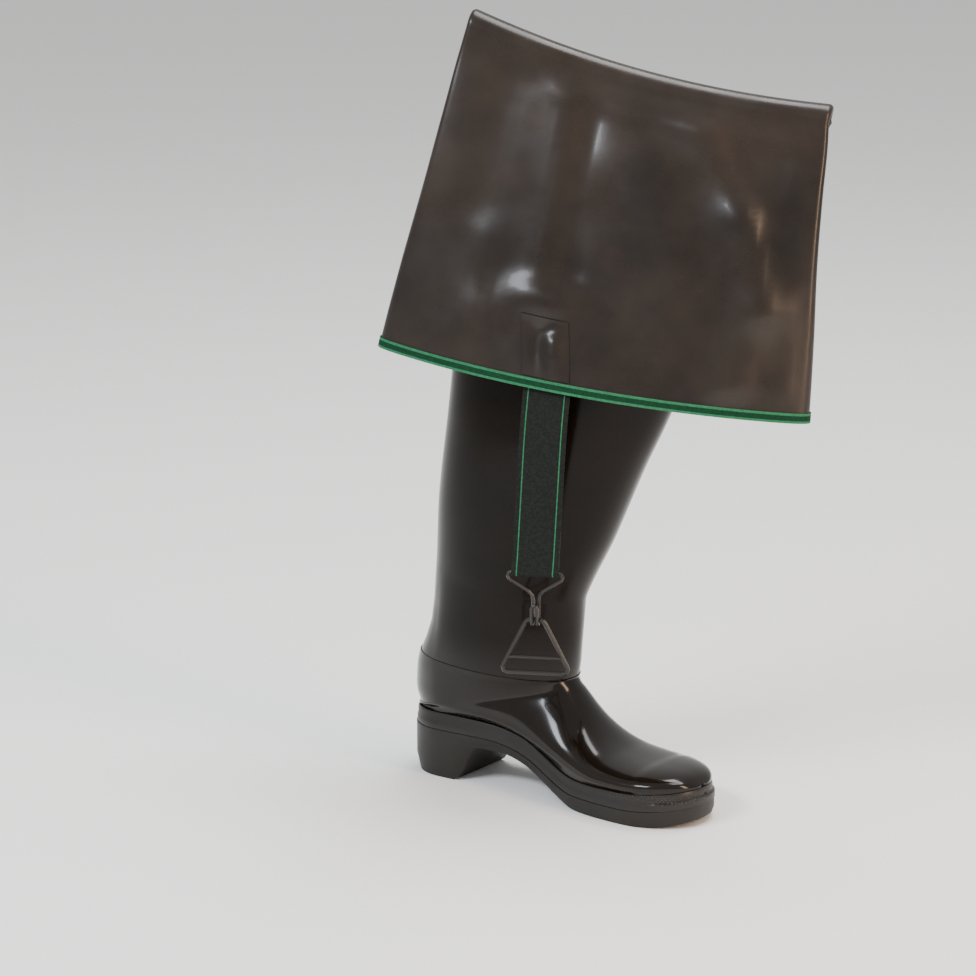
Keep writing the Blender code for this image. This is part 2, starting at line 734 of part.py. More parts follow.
def groove_cutter():
    """Bars that cut the grooves between the lugs, one for each groove."""
    points, faces = [], []
    for x in FOREFOOT_GROOVES + HEEL_GROOVES:
        half = plan_half_width(x) + SOLE_EDGE - HEEL_TUCK - LUG_RIM
        floor = underside(x)
        first = len(points)
        bend = 6.0 if x > BREAST_X else 0.0
        y_values = (plan_centre(x) - half, plan_centre(x), plan_centre(x) + half)
        for y in y_values:
            shift = bend if y == y_values[1] else 0.0
            for dx in (-LUG_GROOVE / 2, LUG_GROOVE / 2):
                for z in (floor - 4.0, floor + LUG_DEPTH):
                    points.append(np.array([x + dx + shift, y, z]))
        for k in (0, 4):
            a = first + k
            faces += [
                [a, a + 2, a + 6, a + 4],
                [a + 1, a + 5, a + 7, a + 3],
                [a, a + 4, a + 5, a + 1],
                [a + 2, a + 3, a + 7, a + 6],
            ]
        faces.append([first, first + 1, first + 3, first + 2])
        faces.append([first + 8, first + 10, first + 11, first + 9])
    plain = make_material("cutter", (1, 1, 1), 1)
    cutter = build_object("groove_cutter", *facing_out(points, faces), plain)
    cutter.hide_render = True
    cutter.display_type = "WIRE"
    return cutter


def insole_solid():
    """A flat board inside the upper, lying on the outsole."""
    inset = -(UPPER_WALL + INSOLE_CLEARANCE)
    loop = grown_loop(inset)
    half = len(loop) // 2
    rows = []
    for k in range(1, half):
        medial, lateral = loop[k], loop[-k]
        if lateral[1] - medial[1] < 8.0:
            continue
        x = (medial[0] + lateral[0]) / 2
        low = ledge(x) + GAP
        rows.append([
            np.array([medial[0], medial[1], low]),
            np.array([lateral[0], lateral[1], low]),
            np.array([lateral[0], lateral[1], low + INSOLE_THICK]),
            np.array([medial[0], medial[1], low + INSOLE_THICK]),
        ])
    sheet = Sheet()
    indices = [sheet.add(row) for row in rows]
    for before, after in zip(indices, indices[1:]):
        sheet.join(before, after, True)
    sheet.faces.append(list(reversed(indices[0])))
    sheet.faces.append(indices[-1])
    return facing_out(sheet.points, sheet.faces)


def hem_binding_solid():
    """A folded tape over the flap's lower edge, one lip on each side of the wall."""
    sheet = leg_sheet()
    normals = sheet.normals()
    outer, inner = BINDING_GAP, -(LEG_WALL + BINDING_GAP)
    profile = (
        # out, down
        (outer, -BINDING_TALL),
        (outer + BINDING_THICK, -BINDING_TALL),
        (outer + BINDING_THICK, GAP + BINDING_THICK),
        (inner - BINDING_THICK, GAP + BINDING_THICK),
        (inner - BINDING_THICK, -BINDING_TALL),
        (inner, -BINDING_TALL),
        (inner, GAP),
        (outer, GAP),
    )
    rows = []
    for k in range(len(sheet.points) - AROUND, len(sheet.points)):
        corner, out = sheet.points[k], normals[k]
        down = unit(corner - sheet.points[k - AROUND])
        out = unit(out - down * (out @ down))
        rows.append([corner + out * a + down * b for a, b in profile])
    return facing_out(*swept_band(rows))


def strap_patch_solid():
    """A patch on the flap's outer layer, over the place where the strap is joined inside."""
    sheet = Sheet()
    rows = []
    for i in range(PATCH_ROWS + 1):
        above = PATCH_ABOVE + PATCH_TALL * i / PATCH_ROWS
        centre = STRAP_ALONG - PATCH_LEAN * above
        places = [centre + PATCH_WIDE * (j / PATCH_COLUMNS - 0.5) for j in range(PATCH_COLUMNS + 1)]
        rows.append(sheet.add([flap_face(FLAP_LENGTH - above, along) for along in places]))
    for before, after in zip(rows, rows[1:]):
        sheet.join(before, after, False)
    return facing_out(*sheet.wall(GAP + PATCH_THICK, -GAP))


def unit(vector):
    return vector / np.linalg.norm(vector)


def strap_frame():
    """Where the strap crosses the hem, with the flap's level and outward directions there."""
    hem = flap_face(FLAP_LENGTH, STRAP_ALONG)
    above = flap_face(FLAP_LENGTH - STRAP_INSIDE / 2, STRAP_ALONG)
    across = STRAP_WIDE / 2
    side = flap_face(FLAP_LENGTH, STRAP_ALONG + across) - flap_face(FLAP_LENGTH, STRAP_ALONG - across)
    facing = np.cross(side, above - hem)
    out = unit(np.array([facing[0], facing[1], 0.0]))
    along = np.array([-out[1], out[0], 0.0])
    return hem, along, out


def strap_path():
    """The strap's centre line as out and up from the hem, and the place of the hook's bar."""
    hem, _, out = strap_frame()
    top = flap_face(FLAP_LENGTH - STRAP_INSIDE, STRAP_ALONG) - hem
    down = unit(-np.array([top @ out, top[2]]))
    face = np.array([-down[1], down[0]])
    lining = -(LEG_WALL + GAP + FLAP_CURVE + STRAP_THICK / 2)
    lip = lining - BINDING_THICK - BINDING_GAP
    path = [
        down * place + face * depth
        for place, depth in ((-STRAP_INSIDE, lining), (-26.0, lining), (-17.0, lip), (7.0, lip))
    ]
    slant = math.atan2(down[0], -down[1])
    turns = 4
    for k in range(turns):
        angle = slant * (1 - (k + 0.5) / turns)
        path.append(path[-1] + np.array([math.sin(angle), -math.cos(angle)]) * STRAP_TURN / turns)
    hang = path[-1][0]
    doubled = (STRAP_THICK + GAP) / 2
    bar = np.array([hang - doubled, -STRAP_DROP])
    path.append(np.array([hang, bar[1] + STRAP_RETURN]))
    path.append(np.array([hang, bar[1] + EYE_NECK]))
    radius = HOOK_WIRE + GAP + STRAP_THICK / 2
    for degrees in range(30, -211, -30):
        angle = math.radians(degrees)
        path.append(bar + np.array([math.cos(angle), math.sin(angle)]) * radius)
    path.append(np.array([hang - 2 * doubled, bar[1] + EYE_NECK]))
    path.append(np.array([hang - 2 * doubled, bar[1] + STRAP_RETURN]))
    return path, bar


def strap_point(spot, shift=0.0):
    """The world place of a point of the strap's upright plane, with its slight lean."""
    hem, along, out = strap_frame()
    lean = STRAP_LEAN * min(max(-spot[1] / STRAP_DROP, 0.0), 1.0)
    return hem + out * spot[0] + along * (shift + lean) + np.array([0.0, 0.0, spot[1]])


def strap_solid():
    """The strap: joined inside the hem, hanging down, and doubled round the hook's bar."""
    sheet = Sheet()
    rows = []
    for spot in strap_path()[0]:
        rows.append(sheet.add([strap_point(spot, -STRAP_WIDE / 2), strap_point(spot, STRAP_WIDE / 2)]))
    for before, after in zip(rows, rows[1:]):
        sheet.join(before, after, False)
    return facing_out(*sheet.wall(STRAP_THICK / 2, STRAP_THICK / 2))


def wire_solid(path, radius):
    """A round wire bent along a closed path."""
    rows = []
    side = np.cross(path[1] - path[-1], path[len(path) // 2] - path[0])
    for k in range(len(path)):
        along = unit(unit(path[(k + 1) % len(path)] - path[k]) + unit(path[k] - path[k - 1]))
        side = unit(side - along * (side @ along))
        other = np.cross(along, side)
        turns = [2 * math.pi * (i + 0.5) / WIRE_SIDES for i in range(WIRE_SIDES)]
        rows.append([path[k] + (side * math.cos(a) + other * math.sin(a)) * radius for a in turns])
    return facing_out(*swept_band(rows))


def mirrored(half):
    """A closed path from the middle of one end to the middle of the other, then back mirrored."""
    return half + [(-p[0], *p[1:]) for p in half[-2:0:-1]]


def hook_path():
    """The hook's wire as along, out and up: a bar, shoulders, a double shank and a curled end."""
    half = [(along, out, -down) for along, out, down in HOOK_HALF]
    half.append((HOOK_SHANK, -HOOK_CURL, -25.0))
    for degrees in range(180, 361, 30):
        angle = math.radians(degrees)
        half.append((HOOK_SHANK, HOOK_CURL * math.cos(angle), HOOK_CURL * math.sin(angle) - HOOK_DROP))
    half.append((HOOK_SHANK, HOOK_CURL, -HOOK_TIP - 2.2))
    half.append((HOOK_SHANK * 0.7, HOOK_CURL, -HOOK_TIP - 0.6))
    half.append((0.0, HOOK_CURL, -HOOK_TIP))
    return mirrored(half)


def ring_path():
    return mirrored([(along, 0.0, -down) for along, down in RING_HALF])


def ring_object(place, along, out, material):
    """The three-sided ring with its cross bar."""
    up = np.array([0.0, 0.0, 1.0])
    path = [place + along * a + out * o + up * z for a, o, z in ring_path()]
    ring = build_object("ring", *wire_solid(path, RING_WIRE), material, place)
    points, faces = [], []
    for end in (-RING_BAR_HALF, RING_BAR_HALF):
        for i in range(WIRE_SIDES):
            angle = 2 * math.pi * (i + 0.5) / WIRE_SIDES
            round_bar = (out * math.cos(angle) + up * math.sin(angle)) * RING_BAR_WIRE
            points.append(place + along * end - up * RING_BAR_DOWN + round_bar)
    for i in range(WIRE_SIDES):
        n = (i + 1) % WIRE_SIDES
        faces.append([i, n, WIRE_SIDES + n, WIRE_SIDES + i])
    faces.append(list(range(WIRE_SIDES))[::-1])
    faces.append(list(range(WIRE_SIDES, 2 * WIRE_SIDES)))
    bar = build_object("ring_bar", *facing_out(points, faces), material)
    bar.hide_render = True
    bar.display_type = "WIRE"
    union = ring.modifiers.new("bar", "BOOLEAN")
    union.operation = "UNION"
    union.solver = "EXACT"
    union.object = bar
    return ring


def main():
    for obj in list(bpy.data.objects):
        bpy.data.objects.remove(obj)
    rubber = make_material("boot_rubber", (0.012, 0.009, 0.007), 0.3)
    thin_rubber = make_material("leg_rubber", (0.03, 0.02, 0.014), 0.35)
    build_object("upper", *upper_sheet().wall(0.0, UPPER_WALL), rubber)
    build_object("leg", *leg_sheet().wall(0.0, LEG_WALL), thin_rubber)
    sole_rubber = make_material("sole_rubber", (0.01, 0.009, 0.008), 0.5)
    board = make_material("insole_board", (0.32, 0.27, 0.2), 0.9)
    build_object("foxing", *foxing_solid(), sole_rubber)
    outsole_object(sole_rubber)
    build_object("insole", *insole_solid(), board)
    tape = make_material("hem_tape", (0.012, 0.055, 0.03), 0.6)
    build_object("hem_binding", *hem_binding_solid(), tape)
    build_object("strap_patch", *strap_patch_solid(), thin_rubber)
    webbing = make_material("strap_webbing", (0.025, 0.027, 0.024), 0.8)
    build_object("strap", *strap_solid(), webbing)
    metal = make_material("black_metal", (0.018, 0.016, 0.015), 0.4)
    _, along, out = strap_frame()
    bar = strap_point(strap_path()[1])
    up = np.array([0.0, 0.0, 1.0])
    wire = [bar + along * a + out * o + up * z for a, o, z in hook_path()]
    build_object("hook", *wire_solid(wire, HOOK_WIRE), metal, bar)
    ring_object(bar - up * HOOK_DROP, along, out, metal)


main()
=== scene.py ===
# Hip wader: the finished look of a left rubber boot with its thigh tube folded over.
# Sizes are in millimetres until the meshes are made.

import functools
import math

import bpy
import numpy as np
from mathutils import Matrix, Vector


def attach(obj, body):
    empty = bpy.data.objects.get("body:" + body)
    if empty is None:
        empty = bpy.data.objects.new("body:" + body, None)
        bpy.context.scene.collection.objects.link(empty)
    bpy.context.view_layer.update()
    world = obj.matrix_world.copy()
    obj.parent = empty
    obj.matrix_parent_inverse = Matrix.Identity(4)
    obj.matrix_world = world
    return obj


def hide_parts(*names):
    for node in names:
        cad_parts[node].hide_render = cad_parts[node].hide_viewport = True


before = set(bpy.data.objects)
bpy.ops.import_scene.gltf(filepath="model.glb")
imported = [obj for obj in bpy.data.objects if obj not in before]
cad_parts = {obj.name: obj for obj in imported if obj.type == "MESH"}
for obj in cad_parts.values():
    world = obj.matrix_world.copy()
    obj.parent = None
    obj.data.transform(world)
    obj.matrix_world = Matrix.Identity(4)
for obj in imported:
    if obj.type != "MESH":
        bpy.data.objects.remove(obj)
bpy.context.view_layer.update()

MM = 0.001
GAP = 0.3

# Walls and layers
UPPER_WALL = 2.4
LEG_WALL = 1.5
LAYER_STEP = 0.9
TOE_CAP_X = 213.0
LAP = GAP + LEG_WALL
LAP_HEIGHT = 25.0

# Foot: the plan of the upper at its lower edge
TOE_X = 256.0
HEEL_X = -41.0
HEEL_ROUND = 38.0
TOE_ROUND = 60.0
TOE_POWER = 2.3
HEEL_POWER = 2.1
PLAN = (
    # x, centre, half_width
    (-41.0, 0.0, 35.0),
    (0.0, 0.0, 35.0),
    (30.0, 1.0, 34.5),
    (60.0, 3.5, 33.0),
    (90.0, 5.5, 34.5),
    (120.0, 5.0, 40.0),
    (150.0, 2.0, 46.0),
    (175.0, 0.0, 49.0),
    (200.0, -3.0, 48.0),
    (225.0, -7.0, 44.5),
    (256.0, -11.0, 40.0),
)

# Side view of the sole: underside, the ledge that carries the upper, and the top of the foxing
SOLE_LINES = (
    # x, underside, ledge, foxing_top
    (-46.0, 0.0, 44.0, 60.0),
    (0.0, 0.0, 44.0, 60.0),
    (12.0, 0.0, 43.9, 59.8),
    (38.0, 33.5, 43.3, 58.6),
    (62.0, 32.5, 40.5, 55.5),
    (83.0, 27.0, 35.0, 50.0),
    (106.0, 16.5, 25.5, 40.0),
    (131.0, 5.0, 15.5, 30.0),
    (146.0, 0.8, 13.0, 27.5),
    (156.0, 0.0, 13.0, 27.0),
    (190.0, 0.0, 13.0, 27.5),
    (212.0, 0.0, 13.5, 28.5),
    (238.0, 2.5, 16.0, 31.0),
    (262.0, 7.5, 20.0, 34.0),
)

# Foot: arches from the toe to the heel, each in the plane through its bottom and its top
ARCHES = (
    # bottom_x, top_x, top_z, top_y, medial_bulge, lateral_bulge, widest_at, fullness
    (256.0, 256.0, 34.0, -11.0, 0.0, 0.0, 0.35, 0.85),
    (250.0, 250.0, 39.5, -10.5, 0.3, 0.3, 0.33, 0.85),
    (240.0, 240.0, 42.5, -10.0, 0.8, 0.8, 0.30, 0.82),
    (225.0, 225.0, 44.0, -9.0, 1.2, 1.0, 0.28, 0.80),
    (200.0, 200.0, 44.7, -6.0, 1.6, 1.2, 0.26, 0.80),
    (172.0, 175.0, 47.2, -4.0, 1.8, 1.5, 0.25, 0.82),
    (145.0, 155.5, 53.0, -2.0, 2.2, 2.0, 0.27, 0.85),
    (115.0, 145.5, 61.0, 0.0, 4.0, 4.0, 0.30, 0.86),
    (85.0, 138.5, 71.0, 1.0, 6.0, 5.5, 0.32, 0.86),
    (55.0, 132.5, 79.0, 1.5, 6.5, 6.0, 0.33, 0.85),
    (25.0, 128.0, 86.0, 1.5, 5.5, 5.5, 0.33, 0.84),
    (-5.0, 124.8, 90.8, 1.5, 5.0, 5.0, 0.32, 0.82),
    (-28.0, 122.5, 94.0, 1.0, 5.0, 5.0, 0.31, 0.80),
    (-41.0, 121.0, 96.0, 0.5, 4.5, 4.5, 0.30, 0.78),
)

# Heel and ankle: closed sections between the foot and the shaft
HEEL_RINGS = (
    # back_x, back_z, front_x, front_z, half_width, widest_at, fullness
    (-41.0, 60.0, 121.0, 96.0, 39.5, 0.30, 0.78),
    (-45.5, 76.0, 119.5, 98.0, 41.0, 0.32, 0.80),
    (-44.5, 95.0, 118.0, 100.3, 43.0, 0.36, 0.84),
    (-41.0, 110.0, 116.5, 102.5, 44.0, 0.39, 0.87),
)
ANKLE_SEAM_RING = 3
ABOVE_SEAM = (0.03, 0.5, 1.0, 1.5)
SHAFT_JOIN = (
    # widest_at, fullness
    (0.46, 0.94),
    (0.5, 1.0),
)

# Shaft and leg: sections across the leaning axis
LEG_ROWS = (
    # z, x, y, turn_deg, tilt_deg, half_depth, half_width, edge_radius
    (135.0, 41.0, 0.0, 0.0, 3.5, 70.0, 46.5, 0.0),
    (178.0, 48.5, 2.0, 2.0, 7.0, 72.0, 54.0, 0.0),
    (244.0, 63.0, 7.0, 5.0, 11.0, 84.0, 62.0, 0.0),
    (309.0, 79.0, 12.0, 8.0, 13.0, 93.0, 64.0, 0.0),
    (351.0, 90.0, 15.5, 10.5, 13.5, 100.0, 62.0, 0.0),
    (400.0, 102.5, 20.0, 13.0, 13.5, 107.5, 58.0, 0.0),
    (460.0, 117.5, 25.5, 17.0, 13.3, 118.5, 51.0, 1.0),
    (520.0, 132.5, 31.0, 20.5, 13.2, 131.0, 41.0, 2.5),
    (575.0, 147.5, 36.0, 23.0, 13.4, 144.0, 26.0, 4.0),
    (610.0, 159.5, 39.0, 24.5, 13.7, 153.0, 12.5, 4.3),
    (630.0, 165.5, 40.5, 25.0, 13.9, 157.5, 5.0, 4.5),
)
COLLAR_Z = 400.0
FOLD_Z = 630.0
SAG = 14.0
SAG_FROM_Z = 520.0
SAG_LEFT_AT_HEM = 0.3
EVEN_TO_Z = 410.0
SPREAD_FROM_Z = 520.0

# Fold and flap, by the length below the fold
FOLD_INNER = 4.0
FLAP_LENGTH = 260.0
HEM_SLOPE = 0.069
FLAP_TILT = 16.0
FLAP_SWING = 23.0
FLAP_SPACING = 1.15
STRAIGHT_FROM = 190.0
FLAP_ROWS = (
    # below, half_depth, half_width, edge_radius, clearance, bow
    (0.0, 157.5, 5.0, 4.5, 2 * FOLD_INNER, 0.0),
    (25.0, 160.5, 6.0, 4.5, 4.0, 1.0),
    (60.0, 163.5, 7.5, 5.0, 2.5, 3.0),
    (120.0, 169.5, 9.5, 5.5, 2.0, 8.0),
    (195.0, 179.0, 12.8, 6.0, 3.6, 17.0),
    (260.0, 186.0, 17.0, 7.0, 6.0, 25.0),
    (300.0, 189.5, 19.0, 7.5, 6.6, 29.0),
)

# Foxing and outsole
FOXING_THICK = 3.2
FOXING_STEP = 0.8
TOE_BUMPER = 1.2
TOE_BUMPER_X = 225.0
TOE_BUMPER_RUN = 12.0
FOXING_STRIP = (0.38, 0.46)
FOXING_BEAD = 3.0
FOXING_BEVEL = 0.9
FOXING_INSET = 0.8
SOLE_EDGE = 4.2
SOLE_TUCK = 1.6
HEEL_TUCK = 3.4
TUCK_FROM = 0.35
BREAST_X = 12.0
WAIST_X = 38.0
LUG_DEPTH = 3.5
LUG_GROOVE = 5.0
LUG_RIM = 8.0
GROOVE_BEND = 6.0
CUT_BELOW = 4.0
FOREFOOT_GROOVES = (146.0, 163.0, 180.0, 197.0, 214.0, 231.0)
HEEL_GROOVES = (-26.0, -10.0, 6.0)

# Hem binding and the patch over the strap's joint, by the length above the hem
BINDING_GAP = 0.35
BINDING_THICK = 0.8
BINDING_TALL = 7.5
STRAP_ALONG = -32.0
PATCH_WIDE = 40.0
PATCH_TALL = 49.0
PATCH_THICK = 1.2
PATCH_ABOVE = 9.0
PATCH_LEAN = 0.2

# Strap, with its heights taken from the hem
STRAP_WIDE = 40.0
STRAP_THICK = 1.8
FLAP_CURVE = 0.55
STRAP_INSIDE = 50.0
STRAP_TURN = 50.0
STRAP_DROP = 157.0
STRAP_LEAN = -9.0
STRAP_RETURN = 36.0
EYE_NECK = 12.0
STRAP_TURNS = 4
LINING_PLACE = -26.0
LIP_PLACES = (-17.0, 7.0)
EYE_ANGLES = range(30, -211, -30)

# Hook: the radius of its wire and the middle of its bar, where the strap carries it
HOOK_WIRE = 1.6
BAR = (131.42, -79.62, 215.81)

# Mesh density
AROUND = 136
ARCH_STATIONS = 66
HEEL_STEPS = 15
SHAFT_STEPS = 40
RISE_STEPS = 40
RISE_SPACING = 1.25
FOLD_STEPS = 17
FLAP_STEPS = 44
PATCH_ROWS = 24
PATCH_COLUMNS = 20
DENSE_ANGLES = 1441
STRAP_STEP = 4.0
SHARP_ANGLE = 40.0
NEAR_ENOUGH = 0.0001

# Soft creases of the thigh tube's outer layer, by the length below the fold
FLAP_CREASES = (
    # below_1, along_1, below_2, along_2, width, height
    (12.0, 52.0, 90.0, 104.0, 22.0, 5.6),
    (90.0, 104.0, 165.0, 130.0, 20.0, 6.6),
    (165.0, 130.0, 256.0, 116.0, 20.0, 5.4),
    (25.0, 82.0, 130.0, 142.0, 12.0, -2.6),
    (30.0, -38.0, 165.0, -34.0, 9.0, -3.4),
    (30.0, -58.0, 150.0, -56.0, 15.0, 2.2),
    (110.0, -20.0, 230.0, 40.0, 26.0, -2.4),
    (15.0, -112.0, 120.0, -120.0, 20.0, -2.6),
    (150.0, -104.0, 250.0, -116.0, 17.0, 2.8),
    (60.0, 24.0, 200.0, 66.0, 28.0, 2.2),
    (200.0, 20.0, 250.0, 90.0, 20.0, 2.0),
    (188.0, -66.0, 186.0, -34.0, 17.0, 6.5),
    (222.0, -33.0, 258.0, -26.0, 8.5, 4.0),
    (214.0, -47.0, 256.0, -42.0, 7.0, -1.8),
    (216.0, -15.0, 256.0, -10.0, 8.0, -1.8),
    (17.0, -70.0, 19.0, 132.0, 11.0, 3.2),
    (20.0, 141.0, 252.0, 163.0, 9.0, 3.0),
)
FLAP_BUMPS = (
    # below, along, radius, height
    (178.0, -92.0, 26.0, -2.6),
    (166.0, -28.0, 16.0, -2.4),
    (222.0, -12.0, 18.0, 2.0),
    (60.0, 0.0, 45.0, 2.4),
    (120.0, -92.0, 36.0, -2.4),
    (208.0, -98.0, 20.0, 2.2),
)
# How the creases fade: below the fold, above the hem and toward the tube's two edges
CREASE_FOLD_FADE = 25.0
CREASE_HEM_CLEAR = 6.0
CREASE_HEM_FADE = 22.0
CREASE_EDGE_POWER = 8

# Rounding of the bend between foot and shaft, which fades out before the parts round it
ANKLE_ROUNDS = 90
ANKLE_SHARE = 0.6
FOXING_CLEAR = 1.0
FOXING_FADE = 9.0
SHAFT_CLEAR_Z = 205.0
SHAFT_FADE = 95.0
TOE_CLEAR_X = 170.0
TOE_FADE = 40.0
HEEL_CLEAR_X = -5.0
HEEL_FADE = 30.0

# Knurl on the foxing: its reach round the toe, its heights, the fade of its edges and its relief
TOE_REACH = 85.0
TOE_KNURL = (21.5, 29.5)
KNURL_END_FADE = 6.0
KNURL_EDGE_FADE = 0.6
KNURL_SCALE = 0.14
KNURL_STRENGTH = 0.9
KNURL_DEPTH = 0.6

# Paler lines: near the strap's edges, and on the binding between the heights where it is cut
STRAP_MARK = 1.0
STRAP_MARK_INSET = 5.0
BINDING_CUTS = (-BINDING_TALL, 2.2 - BINDING_TALL, -1.0, GAP + BINDING_THICK)
BINDING_LINES = (1, 3, 5, 7)

# Materials
RUBBERS = (
    # name, dark, pale, gloss, matt, grain, shine, coat, cloud
    ("boot_look", (0.0025, 0.0018, 0.0012), (0.008, 0.005, 0.003), 0.14, 0.26, 0.05, 0.12, 0.25, 7.0),
    ("leg_look", (0.008, 0.0055, 0.004), (0.028, 0.020, 0.015), 0.22, 0.4, 0.12, 0.28, 0.1, 9.0),
    ("sole_look", (0.008, 0.007, 0.006), (0.016, 0.014, 0.012), 0.38, 0.6, 0.3, 0.3, 0.0, 7.0),
    ("band_look", (0.008, 0.007, 0.006), (0.016, 0.014, 0.012), 0.36, 0.5, 0.3, 0.35, 0.0, 7.0),
)
WEBBINGS = (
    # name, colour, other
    ("tape_look", (0.001, 0.028, 0.011), (0.002, 0.036, 0.015)),
    ("edging_look", (0.018, 0.125, 0.055), (0.024, 0.15, 0.07)),
    ("strap_look", (0.006, 0.008, 0.007), (0.009, 0.012, 0.010)),
)
PLAIN_LOOKS = (
    # name, colour, roughness, metallic
    ("metal_look", (0.03, 0.028, 0.026), 0.35, 0.6),
    ("lining_look", (0.62, 0.5, 0.42), 0.9, 0.0),
)
NOISE_ROUGHNESS = 0.55
CLOUD_DETAIL = 4.0
FINE_DETAIL = 3.0
WEAVE_DETAIL = 2.0
CLOUD_SPREAD = (0.25, 0.8)
GLOSS_SPREAD = (0.15, 0.85)
GLOSS_SCALE = 2.3
GRAIN_SCALE = 900.0
GRAIN_STRENGTH = 0.12
COAT_ROUGHNESS = 0.1
WEAVE_ROUGHNESS = 0.75
WEAVE_SHINE = 0.15
WEAVE_SPECKLE = 420.0
WEAVE_SPREAD = (0.4, 0.6)
WEAVE_RIBS = 190.0
WEAVE_STRENGTH = 0.5
WEAVE_DEPTH = 0.2

# Coat of the boot, stronger on the foot: the height of the change in metres, and half its length
COAT_Z = 0.115
COAT_FADE = 0.03
COAT_SHAFT = 0.03
COAT_FOOT = 0.4

# Studio, in metres
LIGHTS = (
    # name, place, size, power, colour
    ("key", (-0.5, -2.4, 2.3), (1.5, 0.6), 85.0, (0.86, 0.92, 1.0)),
    ("side", (2.6, -0.2, 1.2), (0.5, 2.0), 60.0, (1.0, 0.68, 0.45)),
    ("top", (0.4, 0.8, 3.2), (2.2, 1.2), 95.0, (1.0, 1.0, 1.0)),
)
LIGHTS_AIM = (0.1, 0.0, 0.3)
WORLD_STRENGTH = 0.7
FLOOR_REACH = 40.0
FLOOR_WHITE = (0.93, 0.93, 0.92)
FLOOR_ROUGHNESS = 0.9

# Camera, fitted to the photo
CAMERA_AZIMUTH = 35.0
CAMERA_ELEVATION = 12.0
CAMERA_DISTANCE = 3000.0
CAMERA_SENSOR = 36.0
CAMERA_REACH = 200.0
MM_PER_PIXEL = 0.86
PHOTO_SIZE = 976
TARGET = (90.0, 0.0, 330.0)
TARGET_PIXEL = (549.0, 418.0)


def interpolate(table, key_column, value, column):
    """A smooth curve through one column of a table, with no overshoot between its rows."""
    keys = [row[key_column] for row in table]
    values = [row[column] for row in table]
    if keys[0] > keys[-1]:
        keys.reverse()
        values.reverse()
    last = len(keys) - 1
    value = min(max(value, keys[0]), keys[-1])
    i = min(max(int(np.searchsorted(keys, value)) - 1, 0), last - 1)
    rises = [(values[k + 1] - values[k]) / (keys[k + 1] - keys[k]) for k in range(last)]

    def slope(k):
        if k == 0 or k == last:
            return rises[min(k, last - 1)]
        before, after = rises[k - 1], rises[k]
        return 0.0 if before * after <= 0 else 2 * before * after / (before + after)

    span = keys[i + 1] - keys[i]
    t = (value - keys[i]) / span
    h00 = (1 + 2 * t) * (1 - t) ** 2
    h10 = t * (1 - t) ** 2
    h01 = t * t * (3 - 2 * t)
    h11 = t * t * (t - 1)
    ends = h00 * values[i] + h01 * values[i + 1]
    return ends + span * (h10 * slope(i) + h11 * slope(i + 1))


def plan_centre(x):
    return interpolate(PLAN, 0, x, 1)


def body_half_width(x):
    """Half width of the foot at this place, with a round toe."""
    toe = max(0.0, (x - (TOE_X - TOE_ROUND)) / TOE_ROUND)
    return interpolate(PLAN, 0, x, 2) * max(0.0, 1 - toe**TOE_POWER) ** (1 / TOE_POWER)


def plan_half_width(x):
    """Half width of the upper's lower edge, with a round heel and a round toe."""
    heel = max(0.0, ((HEEL_X + HEEL_ROUND) - x) / HEEL_ROUND)
    return body_half_width(x) * max(0.0, 1 - heel**HEEL_POWER) ** (1 / HEEL_POWER)


def station_x(i):
    """Arch stations, closer together at the toe and the heel."""
    middle = (TOE_X + HEEL_X) / 2
    half = (TOE_X - HEEL_X) / 2
    return middle + half * math.cos(math.pi * i / ARCH_STATIONS)


STATION_XS = [station_x(i) for i in range(ARCH_STATIONS + 1)]


def sole_line(x, column):
    """A height of the sole, straight between the arch stations so that neighbours stay parallel."""
    xs = STATION_XS[::-1]
    heights = [interpolate(SOLE_LINES, 0, s, column) for s in xs]
    return float(np.interp(x, xs, heights))


def underside(x):
    return interpolate(SOLE_LINES, 0, x, 1)


def ledge(x):
    return sole_line(x, 2)


def foxing_top(x):
    return sole_line(x, 3)


def section_angles(half_depth, half_width, edge_radius, evenly):
    """Angles round a flattened section, closer together where it turns sharply."""
    even = np.linspace(0, 2 * math.pi, AROUND + 1)[:-1]
    if evenly >= 1:
        return even
    a = half_depth - edge_radius
    b = half_width - edge_radius
    normal = np.linspace(0, 2 * math.pi, DENSE_ANGLES)
    from_normal = np.unwrap(np.arctan2(b * np.sin(normal), a * np.cos(normal)))
    dense = np.sort(np.concatenate([normal, from_normal]))
    points, turn = section_points(half_depth, half_width, edge_radius, dense)
    steps = np.linalg.norm(np.diff(points, axis=0), axis=1)
    turns = np.abs(np.diff(np.unwrap(turn)))
    weight = steps / steps.sum() + turns / turns.sum()
    along = np.concatenate([[0], np.cumsum(weight)]) / weight.sum()
    spread = np.interp(np.arange(AROUND) / AROUND, along, dense)
    return evenly * even + (1 - evenly) * spread


def section_points(half_depth, half_width, edge_radius, angles):
    """Points of an ellipse widened by a round edge, and the direction each faces."""
    a = half_depth - edge_radius
    b = half_width - edge_radius
    facing = np.arctan2(a * np.sin(angles), b * np.cos(angles))
    x = a * np.cos(angles) + edge_radius * np.cos(facing)
    y = b * np.sin(angles) + edge_radius * np.sin(facing)
    return np.stack([x, y], axis=1), facing


def leg_value(z, column):
    return interpolate(LEG_ROWS, 0, z, column)


def flap_value(below, column):
    return interpolate(FLAP_ROWS, 0, below, column)


